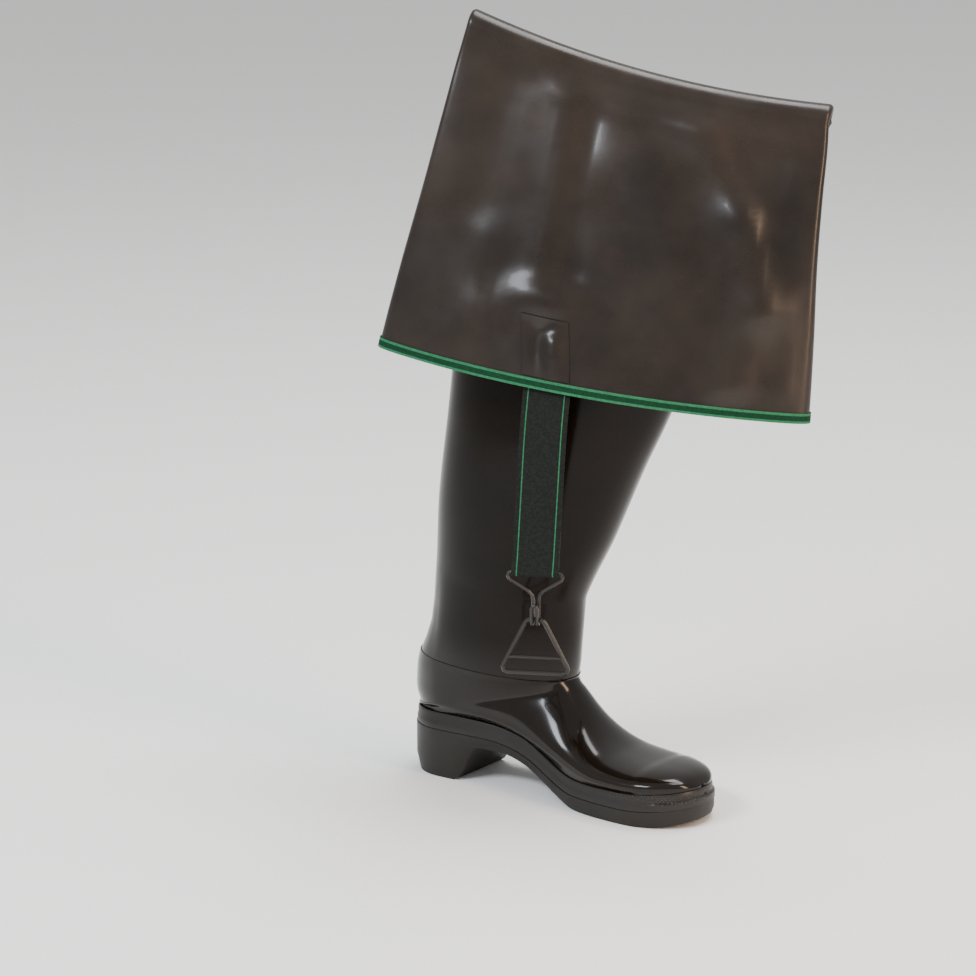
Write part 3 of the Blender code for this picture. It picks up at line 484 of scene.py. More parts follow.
def leg_frame(z):
    """Centre of the leg's axis at this height, with its wide, thin and upward directions."""
    turn = math.radians(leg_value(z, 3))
    tilt = math.radians(leg_value(z, 4))
    centre = np.array([leg_value(z, 1), leg_value(z, 2), z])
    ahead, aside = math.cos(tilt) * math.cos(turn), math.cos(tilt) * math.sin(turn)
    wide = np.array([ahead, aside, -math.sin(tilt)])
    thin = np.array([math.sin(turn), -math.cos(turn), 0.0])
    up = np.cross(thin, wide)
    return centre, wide, thin, up


def sag(share):
    """How far the middle of the fold hangs below a straight line between its ends."""
    return SAG * (1 - min(share * share, 1.0))


def shaft_ring(z, grow=0.0):
    """One section of the shaft or of the rising leg, seen from above: front, medial, back, lateral."""
    centre, wide, thin, up = leg_frame(z)
    depth = leg_value(z, 5) + grow
    width = leg_value(z, 6) + grow
    radius = leg_value(z, 7)
    evenly = min(max((SPREAD_FROM_Z - z) / (SPREAD_FROM_Z - EVEN_TO_Z), 0.0), 1.0)
    angles = section_angles(depth, width, radius, evenly)
    points, _ = section_points(depth, width, radius, angles)
    t = min(max((z - SAG_FROM_Z) / (FOLD_Z - SAG_FROM_Z), 0.0), 1.0)
    near = t * t * (3 - 2 * t)
    return [centre + wide * p[0] + thin * p[1] - up * near * sag(p[0] / depth) for p in points]


def flap_point(below, along, across):
    """A point of the flap from its length below the fold and its place in the section."""
    half_depth = flap_value(below, 1)
    hang = sag(along / half_depth) * (1 - (1 - SAG_LEFT_AT_HEM) * below / FLAP_LENGTH)
    below = below * (1 - HEM_SLOPE * along / half_depth)
    rise_z = FOLD_Z - below * math.cos(math.radians(FLAP_TILT))
    fold_centre, wide, thin, up = leg_frame(FOLD_Z)
    rise_centre = leg_frame(rise_z)[0]
    axis_centre = fold_centre - up * below
    swing = FLAP_SWING * below / FLAP_LENGTH
    rise_half = leg_value(rise_z, 6) + LAP
    offset = rise_half + flap_value(below, 4) + flap_value(below, 2)
    offset += (rise_centre - axis_centre) @ thin
    bow = flap_value(below, 5) * (along / half_depth) ** 2
    return axis_centre + wide * (swing + along) + thin * (offset + across - bow) - up * hang


def flap_section(below):
    """The flat outline of one section of the flap. Its corners run straight down to the hem."""
    spacing = FLAP_LENGTH if below > STRAIGHT_FROM else below
    angles = section_angles(*(flap_value(spacing, column) for column in (1, 2, 3)), 0.0)
    return section_points(*(flap_value(below, column) for column in (1, 2, 3)), angles)[0]


def flap_ring(below):
    """One section of the flap: front, the layer next to the shaft, back, then the outer layer."""
    return [flap_point(below, p[0], -p[1]) for p in flap_section(below)]


@functools.cache
def outer_row(k):
    """One section of the outer layer: the places along it and its points, from back to front."""
    end = FLAP_LENGTH * (k / FLAP_STEPS) ** FLAP_SPACING
    outer = sorted((p[0], *flap_point(end, p[0], -p[1])) for p in flap_section(end) if p[1] < 0.01)
    return end, [row[0] for row in outer], np.array([row[1:] for row in outer])


def flap_face(below, along):
    """A point of the flap's outer layer, on the flat faces between its sections."""
    place = FLAP_STEPS * (below / FLAP_LENGTH) ** (1 / FLAP_SPACING)
    lower = min(int(place + NEAR_ENOUGH), FLAP_STEPS - 1)
    spots, ends = [], []
    for k in (lower, lower + 1):
        end, keys, points = outer_row(k)
        spots.append(np.array([np.interp(along, keys, points[:, c]) for c in range(3)]))
        ends.append(end)
    return spots[0] + (spots[1] - spots[0]) * (below - ends[0]) / (ends[1] - ends[0])


def fold_ring(turned):
    """One section of the hairpin at the top, turned by this angle about the fold."""
    centre, wide, thin, up = leg_frame(FOLD_Z)
    depth = leg_value(FOLD_Z, 5)
    width = leg_value(FOLD_Z, 6)
    radius = leg_value(FOLD_Z, 7)
    bend = (width + LAP + flap_value(0, 4) + width) / 2
    centre = centre + thin * bend * (1 - math.cos(turned)) + up * bend * math.sin(turned)
    inward = thin * math.cos(turned) - up * math.sin(turned)
    angles = section_angles(depth, width, radius, 0.0)
    points, _ = section_points(depth, width, radius, angles)
    return [centre + wide * p[0] + inward * p[1] - up * sag(p[0] / depth) for p in points]


def arch_points(bottom, top, thin, start, widest, widest_at, fullness):
    """An arch from the medial side over the top to the lateral side."""
    lower_share = 0.25 + 0.5 * widest_at
    half = AROUND // 2
    points = []
    for j in range(AROUND + 1):
        side = 0 if j <= half else 1
        q = (j if side == 0 else AROUND - j) / half
        if q <= lower_share:
            share = q / lower_share
            angle = math.pi / 2 * share
            upright = (start[side] / max(widest[side], 0.01)) ** 2
            t = widest_at * (upright * share + (1 - upright) * (1 - math.cos(angle)))
            swell = upright * share * share * (3 - 2 * share) + (1 - upright) * math.sin(angle)
            w = start[side] + (widest[side] - start[side]) * swell
        else:
            angle = math.pi / 2 * (1 + (q - lower_share) / (1 - lower_share))
            t = widest_at - (1 - widest_at) * math.cos(angle)
            w = widest[side] * math.sin(angle) ** fullness if q < 1 else 0.0
        sign = 1 if side == 0 else -1
        points.append(bottom + (top - bottom) * t + thin * sign * w)
    return points


def foot_arch(i):
    x = STATION_XS[i]
    cell = [interpolate(ARCHES, 0, x, column) for column in range(8)]
    _, top_x, top_z, top_y, medial, lateral, widest_at, fullness = cell
    half = plan_half_width(x)
    body = body_half_width(x)
    bottom = np.array([x, plan_centre(x), foxing_top(x)])
    top = np.array([top_x, top_y, top_z])
    tip = min(1.0, 4 * body / PLAN[-1][2])
    widest = (body + medial * tip, body + lateral * tip)
    thin = np.array([0.0, -1.0, 0.0])
    return arch_points(bottom, top, thin, (half, half), widest, widest_at, fullness)


def heel_ring(position):
    """A closed section at a place between the rows of the heel and the first two of the shaft."""
    last = len(HEEL_RINGS)
    rows = [(k, *row) for k, row in enumerate(HEEL_RINGS)]
    for k, shape in enumerate(SHAFT_JOIN):
        centre, wide, _, _ = leg_frame(LEG_ROWS[k][0])
        depth, width = LEG_ROWS[k][5], LEG_ROWS[k][6]
        back, front = centre - wide * depth, centre + wide * depth
        rows.append((last + k, back[0], back[2], front[0], front[2], width, *shape))
    cell = [interpolate(rows, 0, position, column) for column in range(8)]
    _, back_x, back_z, front_x, front_z, width, widest_at, fullness = cell
    y = LEG_ROWS[1][2] * max(0.0, position - last)
    thin = np.array([0.0, -1.0, 0.0])
    bottom, top = np.array([back_x, y, back_z]), np.array([front_x, y, front_z])
    return arch_points(bottom, top, thin, (0.0, 0.0), (width, width), widest_at, fullness)


def ring_from_arch(arch):
    """Reorders a closed arch to start at the front like a shaft ring."""
    half = AROUND // 2
    return [arch[(half - k) % AROUND] for k in range(AROUND)]


class Sheet:
    """A surface of points and faces that becomes a wall of even thickness."""

    def __init__(self):
        self.points = []
        self.faces = []
        self.lifts = []

    def add(self, points, lift=0.0):
        first = len(self.points)
        self.points.extend(np.asarray(p, float) for p in points)
        self.lifts.extend([lift] * len(points))
        return list(range(first, len(self.points)))

    def join(self, lower, upper, closed):
        count = len(lower)
        for k in range(count if closed else count - 1):
            n = (k + 1) % count
            face = []
            for corner in (lower[k], lower[n], upper[n], upper[k]):
                if corner not in face:
                    face.append(corner)
            if len(face) > 2:
                self.faces.append(face)

    def join_rows(self, rows, closed):
        for before, after in zip(rows, rows[1:]):
            self.join(before, after, closed)

    def normals(self):
        points = np.array(self.points)
        normals = np.zeros_like(points)
        for face in self.faces:
            around = points[face]
            spokes = around[1:] - around[0]
            area = np.cross(spokes[:-1], spokes[1:]).sum(axis=0)
            for corner in face:
                normals[corner] += area
        return normals / np.maximum(np.linalg.norm(normals, axis=1), 1e-9)[:, None]

    def wall(self, outward, inward):
        """Points and faces of the closed wall, from its outer side to its inner side."""
        points = np.array(self.points)
        normals = self.normals()
        outer = points + normals * (outward + np.array(self.lifts)[:, None])
        inner = points - normals * inward
        count = len(points)
        inside = [[corner + count for corner in reversed(face)] for face in self.faces]
        faces = list(self.faces) + inside
        edges = {}
        for face in self.faces:
            for a, b in zip(face, face[1:] + face[:1]):
                edges[(a, b)] = edges.get((a, b), 0) + 1
        for a, b in edges:
            if (b, a) not in edges:
                faces.append([b, a, a + count, b + count])
        return np.concatenate([outer, inner]), faces


def upper_sheet():
    """The upper's outer surface: a skirt round the foot, arches over it, rings up the shaft."""
    sheet = Sheet()
    half = AROUND // 2
    arches = []
    tip = sheet.add([foot_arch(0)[half]])[0]
    arches.append([tip] * (AROUND + 1))
    for i in range(1, ARCH_STATIONS):
        lift = 2 * LAYER_STEP if STATION_XS[i] > TOE_CAP_X else LAYER_STEP
        arches.append(sheet.add(foot_arch(i), lift))
    rings = []
    steps = [k * ANKLE_SEAM_RING / HEEL_STEPS for k in range(HEEL_STEPS + 1)]
    steps += [ANKLE_SEAM_RING + above for above in ABOVE_SEAM]
    for position in steps:
        lift = LAYER_STEP if position <= ANKLE_SEAM_RING else 0.0
        rings.append(sheet.add(ring_from_arch(heel_ring(position)), lift))
    for k in range(SHAFT_STEPS + 1):
        z = LEG_ROWS[1][0] + (COLLAR_Z - LEG_ROWS[1][0]) * k / SHAFT_STEPS
        rings.append(sheet.add(shaft_ring(z)))
    heel = rings[0]
    arches.append([heel[(half - k) % AROUND] for k in range(AROUND + 1)])
    sheet.join_rows(arches, False)
    for before, after in zip(rings, rings[1:]):
        sheet.join(after, before, True)
    loop = [arch[0] for arch in arches] + [arch[-1] for arch in arches[-2:0:-1]]
    edge = [sheet.points[k] for k in loop]
    skirt = sheet.add([(p[0], p[1], ledge(p[0]) + GAP) for p in edge])
    for corner in loop:
        sheet.lifts[corner] = 0.0
    sheet.join(loop, skirt, True)
    return sheet


def foot_loop():
    """The closed outline of the upper's lower edge: medial side from toe to heel, then lateral."""
    half = AROUND // 2
    arches = [foot_arch(i) for i in range(1, ARCH_STATIONS)]
    loop = [foot_arch(0)[half]]
    loop += [arch[0] for arch in arches]
    loop += [np.array(heel_ring(0.0)[0])]
    loop += [arch[-1] for arch in reversed(arches)]
    return [np.array([p[0], p[1]]) for p in loop]


def loop_normals(loop):
    """Outward steps at an outline's corners, long enough to move every side out by one."""
    count = len(loop)
    sides = []
    for k in range(count):
        along = loop[(k + 1) % count] - loop[k]
        sides.append(np.array([along[1], -along[0]]) / np.linalg.norm(along))
    centre = sum(loop) / count
    if (loop[0] - centre) @ (sides[0] + sides[-1]) < 0:
        sides = [-side for side in sides]
    corners = [(sides[k - 1] + sides[k]) for k in range(count)]
    return [c / (c @ c) * 2 for c in corners]


def grown_loop(distance):
    return [p + n * distance for p, n in zip(foot_loop(), loop_normals(foot_loop()))]


def swept_band(rows):
    """Points and faces of a closed profile carried round a closed path, one row a station."""
    sheet = Sheet()
    indices = [sheet.add(row) for row in rows]
    sheet.join_rows(indices + indices[:1], True)
    return sheet.points, sheet.faces


def facing_out(points, faces):
    """The same faces, turned so that the closed shape's volume is positive."""
    points = np.array(points)
    volume = 0.0
    for face in faces:
        for k in range(1, len(face) - 1):
            volume += np.dot(points[face[0]], np.cross(points[face[k]], points[face[k + 1]]))
    return points, [face[::-1] for face in faces] if volume < 0 else faces


def foxing_solid():
    """The rubber band round the foot, with a bead at its top and a bumper at the toe."""
    inner = grown_loop(GAP)
    rows = []
    for base, out in zip(inner, loop_normals(foot_loop())):
        low, high = ledge(base[0]) + GAP, foxing_top(base[0])
        tall = high - low
        bumper = TOE_BUMPER * min(max((base[0] - TOE_BUMPER_X) / TOE_BUMPER_RUN, 0.0), 1.0)
        thick = FOXING_THICK
        profile = (
            # out, height
            (0.0, low),
            (thick + bumper, low),
            (thick + bumper, low + FOXING_STRIP[0] * tall),
            (thick - FOXING_STEP, low + FOXING_STRIP[1] * tall),
            (thick - FOXING_STEP, high - FOXING_BEAD),
            (thick - FOXING_STEP - FOXING_BEVEL, high - FOXING_INSET),
            (0.0, high - FOXING_INSET),
        )
        rows.append([np.array([*(base + out * o), z]) for o, z in profile])
    return facing_out(*swept_band(rows))


def placed(name, data):
    """A new object of this data, put into the scene."""
    obj = bpy.data.objects.new(name, data)
    bpy.context.scene.collection.objects.link(obj)
    return obj


def build_object(name, points, faces, material):
    mesh = bpy.data.meshes.new(name)
    mesh.from_pydata([tuple(p * MM) for p in np.asarray(points, float)], [], faces)
    mesh.validate()
    mesh.shade_smooth()
    mesh.set_sharp_from_angle(angle=math.radians(SHARP_ANGLE))
    mesh.materials.append(material)
    return placed(name, mesh)


def leg_sheet():
    """The leg's surface: up over the shaft's collar, round the fold and down the flap."""
    sheet = Sheet()
    rings = []
    for k in range(RISE_STEPS + 1):
        start = COLLAR_Z - LAP_HEIGHT
        z = start + (FOLD_Z - start) * (1 - (1 - k / RISE_STEPS) ** RISE_SPACING)
        rings.append(shaft_ring(z, LAP if z < FOLD_Z - 1 else 0.0))
    for k in range(1, FOLD_STEPS):
        rings.append(fold_ring(math.pi * k / FOLD_STEPS))
    for k in range(FLAP_STEPS + 1):
        rings.append(flap_ring(FLAP_LENGTH * (k / FLAP_STEPS) ** FLAP_SPACING))
    indices = [sheet.add(ring) for ring in rings]
    for before, after in zip(indices, indices[1:]):
        sheet.join(after, before, True)
    return sheet


def outsole_object(material):
    """The sole with its heel block, waist, toe spring and side, with grooves between its lugs."""
    loop, normals = foot_loop(), loop_normals(foot_loop())
    half = len(loop) // 2
    xs = [p[0] for p in loop[: half + 1]]
    xs = sorted(set(xs) | {BREAST_X, WAIST_X, (BREAST_X + WAIST_X) / 2}, reverse=True)

    def edge(x, side, out):
        """The plan of one side at this place along the upper's outline."""
        corners = range(half, -1, -1) if side < 0 else range(half, len(loop) + 1)
        spots, outs = (np.array([of[k % len(loop)] for k in corners]) for of in (loop, normals))
        spot, way = (
            np.array([np.interp(x, spots[:, 0], field[:, axis]) for axis in (0, 1)])
            for field in (spots, outs)
        )
        return spot + unit(way) * out

    sheet = Sheet()
    rings = []
    for x in xs:
        top, bottom = ledge(x), underside(x)
        mid = bottom + TUCK_FROM * (top - bottom)
        tuck = HEEL_TUCK if x < WAIST_X else SOLE_TUCK
        pairs = []
        for out, z in ((SOLE_EDGE, top), (SOLE_EDGE, mid), (SOLE_EDGE - tuck, bottom)):
            medial, lateral = edge(x, -1, out), edge(x, 1, out)
            if x in (xs[0], xs[-1]):
                medial = lateral = (medial + lateral) / 2
            first = sheet.add([(*medial, z)])[0]
            second = first if np.allclose(medial, lateral) else sheet.add([(*lateral, z)])[0]
            pairs.append((first, second))
        medials, laterals = zip(*pairs)
        rings.append([medials[0], *laterals, medials[2], medials[1]])
    sheet.join_rows(rings, True)
    sole = build_object("outsole_look", *facing_out(sheet.points, sheet.faces), material)
    cut = sole.modifiers.new("grooves", "BOOLEAN")
    cut.operation = "DIFFERENCE"
    cut.solver = "EXACT"
    cut.object = groove_cutter()
    return sole


def groove_cutter():
    """Bars that cut the grooves between the lugs, one for each groove."""
    points, faces = [], []
    for x in FOREFOOT_GROOVES + HEEL_GROOVES:
        half = plan_half_width(x) + SOLE_EDGE - HEEL_TUCK - LUG_RIM
        floor = underside(x)
        first = len(points)
        bend = GROOVE_BEND if x > BREAST_X else 0.0
        y_values = (plan_centre(x) - half, plan_centre(x), plan_centre(x) + half)
        for y in y_values:
            shift = bend if y == y_values[1] else 0.0
            for dx in (-LUG_GROOVE / 2, LUG_GROOVE / 2):
                for z in (floor - CUT_BELOW, floor + LUG_DEPTH):
                    points.append(np.array([x + dx + shift, y, z]))
        for k in (0, 4):
            a = first + k
            faces += [
                [a, a + 2, a + 6, a + 4],
                [a + 1, a + 5, a + 7, a + 3],
                [a, a + 4, a + 5, a + 1],
                [a + 2, a + 3, a + 7, a + 6],
            ]
        faces.append([first, first + 1, first + 3, first + 2])
        faces.append([first + 8, first + 10, first + 11, first + 9])
    white = plain("cutter_look", (1.0, 1.0, 1.0), 1.0, 0.0)
    cutter = build_object("groove_cutter", *facing_out(points, faces), white)
    cutter.hide_render = True
    cutter.display_type = "WIRE"
    return cutter


def hem_binding_solid(cross):
    """A folded tape over the flap's lower edge, with its outer side cut at the given heights."""
    sheet = leg_sheet()
    normals = sheet.normals()
    outer, inner = BINDING_GAP, -(LEG_WALL + BINDING_GAP)
    profile = (
        # out, down
        (outer, -BINDING_TALL),
        *((outer + BINDING_THICK, down) for down in cross),
        *((inner - BINDING_THICK, down) for down in reversed(cross)),
        (inner, -BINDING_TALL),
        (inner, GAP),
        (outer, GAP),
    )
    rows = []
    for k in range(len(sheet.points) - AROUND, len(sheet.points)):
        corner, out = sheet.points[k], normals[k]
        down = unit(corner - sheet.points[k - AROUND])
        out = unit(out - down * (out @ down))
        rows.append([corner + out * a + down * b for a, b in profile])
    return facing_out(*swept_band(rows))


def strap_patch_solid():
    """A patch on the flap's outer layer, over the place where the strap is joined inside."""
    sheet = Sheet()
    rows = []
    for i in range(PATCH_ROWS + 1):
        above = PATCH_ABOVE + PATCH_TALL * i / PATCH_ROWS
        centre = STRAP_ALONG - PATCH_LEAN * above
        places = [centre + PATCH_WIDE * (j / PATCH_COLUMNS - 0.5) for j in range(PATCH_COLUMNS + 1)]
        rows.append(sheet.add([creased_face(FLAP_LENGTH - above, along) for along in places]))
    sheet.join_rows(rows, False)
    return facing_out(*sheet.wall(GAP + PATCH_THICK, -GAP))


def unit(vector):
    return vector / np.linalg.norm(vector)


def strap_frame():
    """Where the strap crosses the hem, with the flap's level and outward directions there."""
    hem = flap_face(FLAP_LENGTH, STRAP_ALONG)
    above = flap_face(FLAP_LENGTH - STRAP_INSIDE / 2, STRAP_ALONG)
    across = STRAP_WIDE / 2
    side = flap_face(FLAP_LENGTH, STRAP_ALONG + across) - flap_face(FLAP_LENGTH, STRAP_ALONG - across)
    facing = np.cross(side, above - hem)
    out = unit(np.array([facing[0], facing[1], 0.0]))
    along = np.array([-out[1], out[0], 0.0])
    return hem, along, out


def strap_path():
    """The strap's centre line as out and up from the hem, and the place of the hook's bar."""
    hem, _, out = strap_frame()
    top = flap_face(FLAP_LENGTH - STRAP_INSIDE, STRAP_ALONG) - hem
    down = unit(-np.array([top @ out, top[2]]))
    face = np.array([-down[1], down[0]])
    lining = -(LEG_WALL + GAP + FLAP_CURVE + STRAP_THICK / 2)
    lip = lining - BINDING_THICK - BINDING_GAP
    spots = [(-STRAP_INSIDE, lining), (LINING_PLACE, lining), *((place, lip) for place in LIP_PLACES)]
    path = [down * place + face * depth for place, depth in spots]
    slant = math.atan2(down[0], -down[1])
    for k in range(STRAP_TURNS):
        angle = slant * (1 - (k + 0.5) / STRAP_TURNS)
        path.append(path[-1] + np.array([math.sin(angle), -math.cos(angle)]) * STRAP_TURN / STRAP_TURNS)
    hang = path[-1][0]
    doubled = (STRAP_THICK + GAP) / 2
    bar = np.array([hang - doubled, -STRAP_DROP])
    path.append(np.array([hang, bar[1] + STRAP_RETURN]))
    path.append(np.array([hang, bar[1] + EYE_NECK]))
    radius = HOOK_WIRE + GAP + STRAP_THICK / 2
    for degrees in EYE_ANGLES:
        angle = math.radians(degrees)
        path.append(bar + np.array([math.cos(angle), math.sin(angle)]) * radius)
    path.append(np.array([hang - 2 * doubled, bar[1] + EYE_NECK]))
    path.append(np.array([hang - 2 * doubled, bar[1] + STRAP_RETURN]))
    return path, bar


def strap_point(spot, shift=0.0):
    """The world place of a point of the strap's upright plane, with its slight lean."""
    hem, along, out = strap_frame()
    lean = STRAP_LEAN * min(max(-spot[1] / STRAP_DROP, 0.0), 1.0)
    return hem + out * spot[0] + along * (shift + lean) + np.array([0.0, 0.0, spot[1]])


def crease_height(below, along):
    """How far the outer layer stands out or in at this place."""
    height = 0.0
    for b1, a1, b2, a2, width, tall in FLAP_CREASES:
        way = np.array([b2 - b1, a2 - a1])
        here = np.array([below - b1, along - a1])
        t = min(max(here @ way / (way @ way), 0.0), 1.0)
        off = np.linalg.norm(here - way * t) / width
        height += tall * math.exp(-off * off)
    for b, a, radius, tall in FLAP_BUMPS:
        off = math.hypot(below - b, along - a) / radius
        height += tall * math.exp(-off * off)
    return height


def crease_fade(below):
    """The share of the creases' height that is left near the fold and near the hem."""
    above = (FLAP_LENGTH - below - CREASE_HEM_CLEAR) / CREASE_HEM_FADE
    return min(1.0, below / CREASE_FOLD_FADE) * min(1.0, max(0.0, above))


def creased_face(below, along):
    """A point of the outer layer with its creases, for what lies on it above the hem."""
    spot = flap_face(below, along)
    across = flap_face(below, along + 1.0) - spot
    down = flap_face(below + 1.0, along) - spot
    out = unit(np.cross(across, down))
    if out[1] > 0.0:
        out = -out
    return spot + out * crease_height(below, along) * crease_fade(below)


def creased_leg():
    """The leg's sheet with its soft creases on the layer that faces outward."""
    sheet = leg_sheet()
    normals = sheet.normals()
    first = len(sheet.points) - AROUND * (FLAP_STEPS + 1)
    for k in range(FLAP_STEPS + 1):
        below = FLAP_LENGTH * (k / FLAP_STEPS) ** FLAP_SPACING
        fade = crease_fade(below)
        depth = flap_value(below, 1)
        for j, p in enumerate(flap_section(below)):
            if p[1] < 0.0:
                side = max(0.0, 1 - abs(p[0] / depth) ** CREASE_EDGE_POWER)
                corner = first + k * AROUND + j
                lift = crease_height(below, p[0]) * fade * side
                sheet.points[corner] = sheet.points[corner] + normals[corner] * lift
    return sheet


def surface_object(name, points, faces, node, slot_name, material, body="root"):
    obj = build_object(name, points, faces, material)
    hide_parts(node)
    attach(obj, body)
    return obj


def rounded_ankle(sheet):
    """Round out the bend between foot and shaft, clear of the foxing, the heel and the toe."""
    points = np.array(sheet.points, float)
    pairs = {tuple(sorted(pair)) for face in sheet.faces for pair in zip(face, face[1:] + face[:1])}
    first, second = np.array(sorted(pairs)).T
    count = len(points)
    shares = np.bincount(first, minlength=count) + np.bincount(second, minlength=count)
    keys = np.array(SOLE_LINES)
    tops = np.interp(points[:, 0], keys[:, 0], keys[:, 3])
    weight = np.clip((points[:, 2] - tops - FOXING_CLEAR) / FOXING_FADE, 0.0, 1.0)
    weight *= np.clip((SHAFT_CLEAR_Z - points[:, 2]) / SHAFT_FADE, 0.0, 1.0)
    weight *= np.clip((TOE_CLEAR_X - points[:, 0]) / TOE_FADE, 0.0, 1.0)
    weight *= np.clip((points[:, 0] - HEEL_CLEAR_X) / HEEL_FADE, 0.0, 1.0)
    seam = 1 + (ARCH_STATIONS - 1) * (AROUND + 1) + HEEL_STEPS * AROUND
    below_seam = np.arange(count) < seam - 2 * AROUND
    for _ in range(ANKLE_ROUNDS):
        for axis in range(3):
            values = points[:, axis]
            near = np.bincount(first, values[second], count) + np.bincount(second, values[first], count)
            share = weight * below_seam if axis == 2 else weight
            points[:, axis] = values + ANKLE_SHARE * share * (near / shares - values)
    for corner in range(seam, seam + AROUND):
        step = sheet.points[corner + AROUND] - sheet.points[corner]
        points[corner + AROUND] = points[corner] + step
    sheet.points[:] = list(points)
    return sheet


def line_inside(obj, sheet_faces, lining):
    """Give the wall's inner side its textile lining."""
    obj.data.materials.append(lining)
    for face in obj.data.polygons[sheet_faces:2 * sheet_faces]:
        face.material_index = 1


def mix_node(tree, first, second, factor):
    mix = tree.nodes.new("ShaderNodeMix")
    mix.data_type = "RGBA"
    mix.inputs["A"].default_value = (*first, 1.0)
    mix.inputs["B"].default_value = (*second, 1.0)
    tree.links.new(factor, mix.inputs["Factor"])
    return mix.outputs["Result"]


def place_node(tree):
    return tree.nodes.new("ShaderNodeTexCoord").outputs["Object"]


def noise_node(tree, scale, detail):
    noise = tree.nodes.new("ShaderNodeTexNoise")
    noise.inputs["Scale"].default_value = scale
    noise.inputs["Detail"].default_value = detail
    noise.inputs["Roughness"].default_value = NOISE_ROUGHNESS
    tree.links.new(place_node(tree), noise.inputs["Vector"])
    return noise.outputs["Fac"]


def wave_node(tree, where, direction, scale):
    wave = tree.nodes.new("ShaderNodeTexWave")
    wave.bands_direction = direction
    wave.inputs["Scale"].default_value = scale
    tree.links.new(where, wave.inputs["Vector"])
    return wave.outputs["Fac"]


def split_node(tree, where):
    split = tree.nodes.new("ShaderNodeSeparateXYZ")
    tree.links.new(where, split.inputs["Vector"])
    return split.outputs


def relief(material, height, strength, depth):
    """Fine relief in the material, with its depth in millimetres."""
    tree = material.node_tree
    bump = tree.nodes.new("ShaderNodeBump")
    bump.inputs["Strength"].default_value = strength
    bump.inputs["Distance"].default_value = depth * MM
    tree.links.new(height, bump.inputs["Height"])
    tree.links.new(bump.outputs["Normal"], tree.nodes["Principled BSDF"].inputs["Normal"])


def ramp_node(tree, factor, low, high, from_value=0.0, to_value=1.0):
    ramp = tree.nodes.new("ShaderNodeMapRange")
    ramp.interpolation_type = "SMOOTHSTEP"
    ramp.inputs["From Min"].default_value = low
    ramp.inputs["From Max"].default_value = high
    ramp.inputs["To Min"].default_value = from_value
    ramp.inputs["To Max"].default_value = to_value
    tree.links.new(factor, ramp.inputs["Value"])
    return ramp.outputs["Result"]


def rubber(name, dark, pale, gloss, matt, grain, shine, coat, cloud):
    """Rubber with cloudy patches of colour and gloss and a fine grain."""
    material = plain(name, dark, gloss, 0.0)
    tree = material.node_tree
    shader = tree.nodes["Principled BSDF"]
    clouds = ramp_node(tree, noise_node(tree, cloud, CLOUD_DETAIL), *CLOUD_SPREAD)
    tree.links.new(mix_node(tree, dark, pale, clouds), shader.inputs["Base Color"])
    patches = noise_node(tree, cloud * GLOSS_SCALE, FINE_DETAIL)
    patches = ramp_node(tree, patches, *GLOSS_SPREAD, gloss, matt)
    tree.links.new(patches, shader.inputs["Roughness"])
    shader.inputs["Specular IOR Level"].default_value = shine
    shader.inputs["Coat Weight"].default_value = coat
    shader.inputs["Coat Roughness"].default_value = COAT_ROUGHNESS
    relief(material, noise_node(tree, GRAIN_SCALE, FINE_DETAIL), GRAIN_STRENGTH, grain)
    return material


def glossy_foot(material):
    """Let the coat fall from the foot to the shaft."""
    tree = material.node_tree
    height = split_node(tree, place_node(tree))["Z"]
    coat = ramp_node(tree, height, COAT_Z - COAT_FADE, COAT_Z + COAT_FADE, COAT_FOOT, COAT_SHAFT)
    tree.links.new(coat, tree.nodes["Principled BSDF"].inputs["Coat Weight"])


def diamonds(material):
    """A fine diamond knurl round the toe, from the length round the foot and the height."""
    tree = material.node_tree
    where = tree.nodes.new("ShaderNodeUVMap")
    where.uv_map = "around"
    spot = split_node(tree, where.outputs["UV"])
    turned = tree.nodes.new("ShaderNodeMapping")
    turned.inputs["Rotation"].default_value = (0.0, 0.0, math.pi / 4)
    tree.links.new(where.outputs["UV"], turned.inputs["Vector"])
    low, high = TOE_KNURL
    height = wave_node(tree, turned.outputs["Vector"], "X", KNURL_SCALE)
    masks = [
        wave_node(tree, turned.outputs["Vector"], "Y", KNURL_SCALE),
        ramp_node(tree, spot["X"], -TOE_REACH - KNURL_END_FADE, -TOE_REACH),
        ramp_node(tree, spot["X"], TOE_REACH + KNURL_END_FADE, TOE_REACH),
        ramp_node(tree, spot["Y"], low, low + KNURL_EDGE_FADE),
        ramp_node(tree, spot["Y"], high, high - KNURL_EDGE_FADE),
    ]
    for mask in masks:
        times = tree.nodes.new("ShaderNodeMath")
        times.operation = "MULTIPLY"
        tree.links.new(height, times.inputs[0])
        tree.links.new(mask, times.inputs[1])
        height = times.outputs["Value"]
    relief(material, height, KNURL_STRENGTH, KNURL_DEPTH)


def foxing_object(material):
    """The band round the foot, with the length round it from the toe kept for its knurl."""
    obj = surface_object("foxing_look", *foxing_solid(), "foxing", "sole_rubber", material)
    loop = grown_loop(GAP)
    steps = [np.linalg.norm(b - a) for a, b in zip(loop, loop[1:])]
    lengths = np.concatenate([[0.0], np.cumsum(steps)])
    toe = int(np.argmax([spot[0] for spot in loop]))
    around = lengths - lengths[toe]
    around = np.where(around > lengths[-1] / 2, around - lengths[-1], around)
    corners = len(obj.data.vertices) // len(loop)
    layer = obj.data.uv_layers.new(name="around")
    for corner in obj.data.loops:
        vertex = corner.vertex_index
        height = obj.data.vertices[vertex].co.z / MM
        layer.data[corner.index].uv = (around[vertex // corners], height)
    return obj


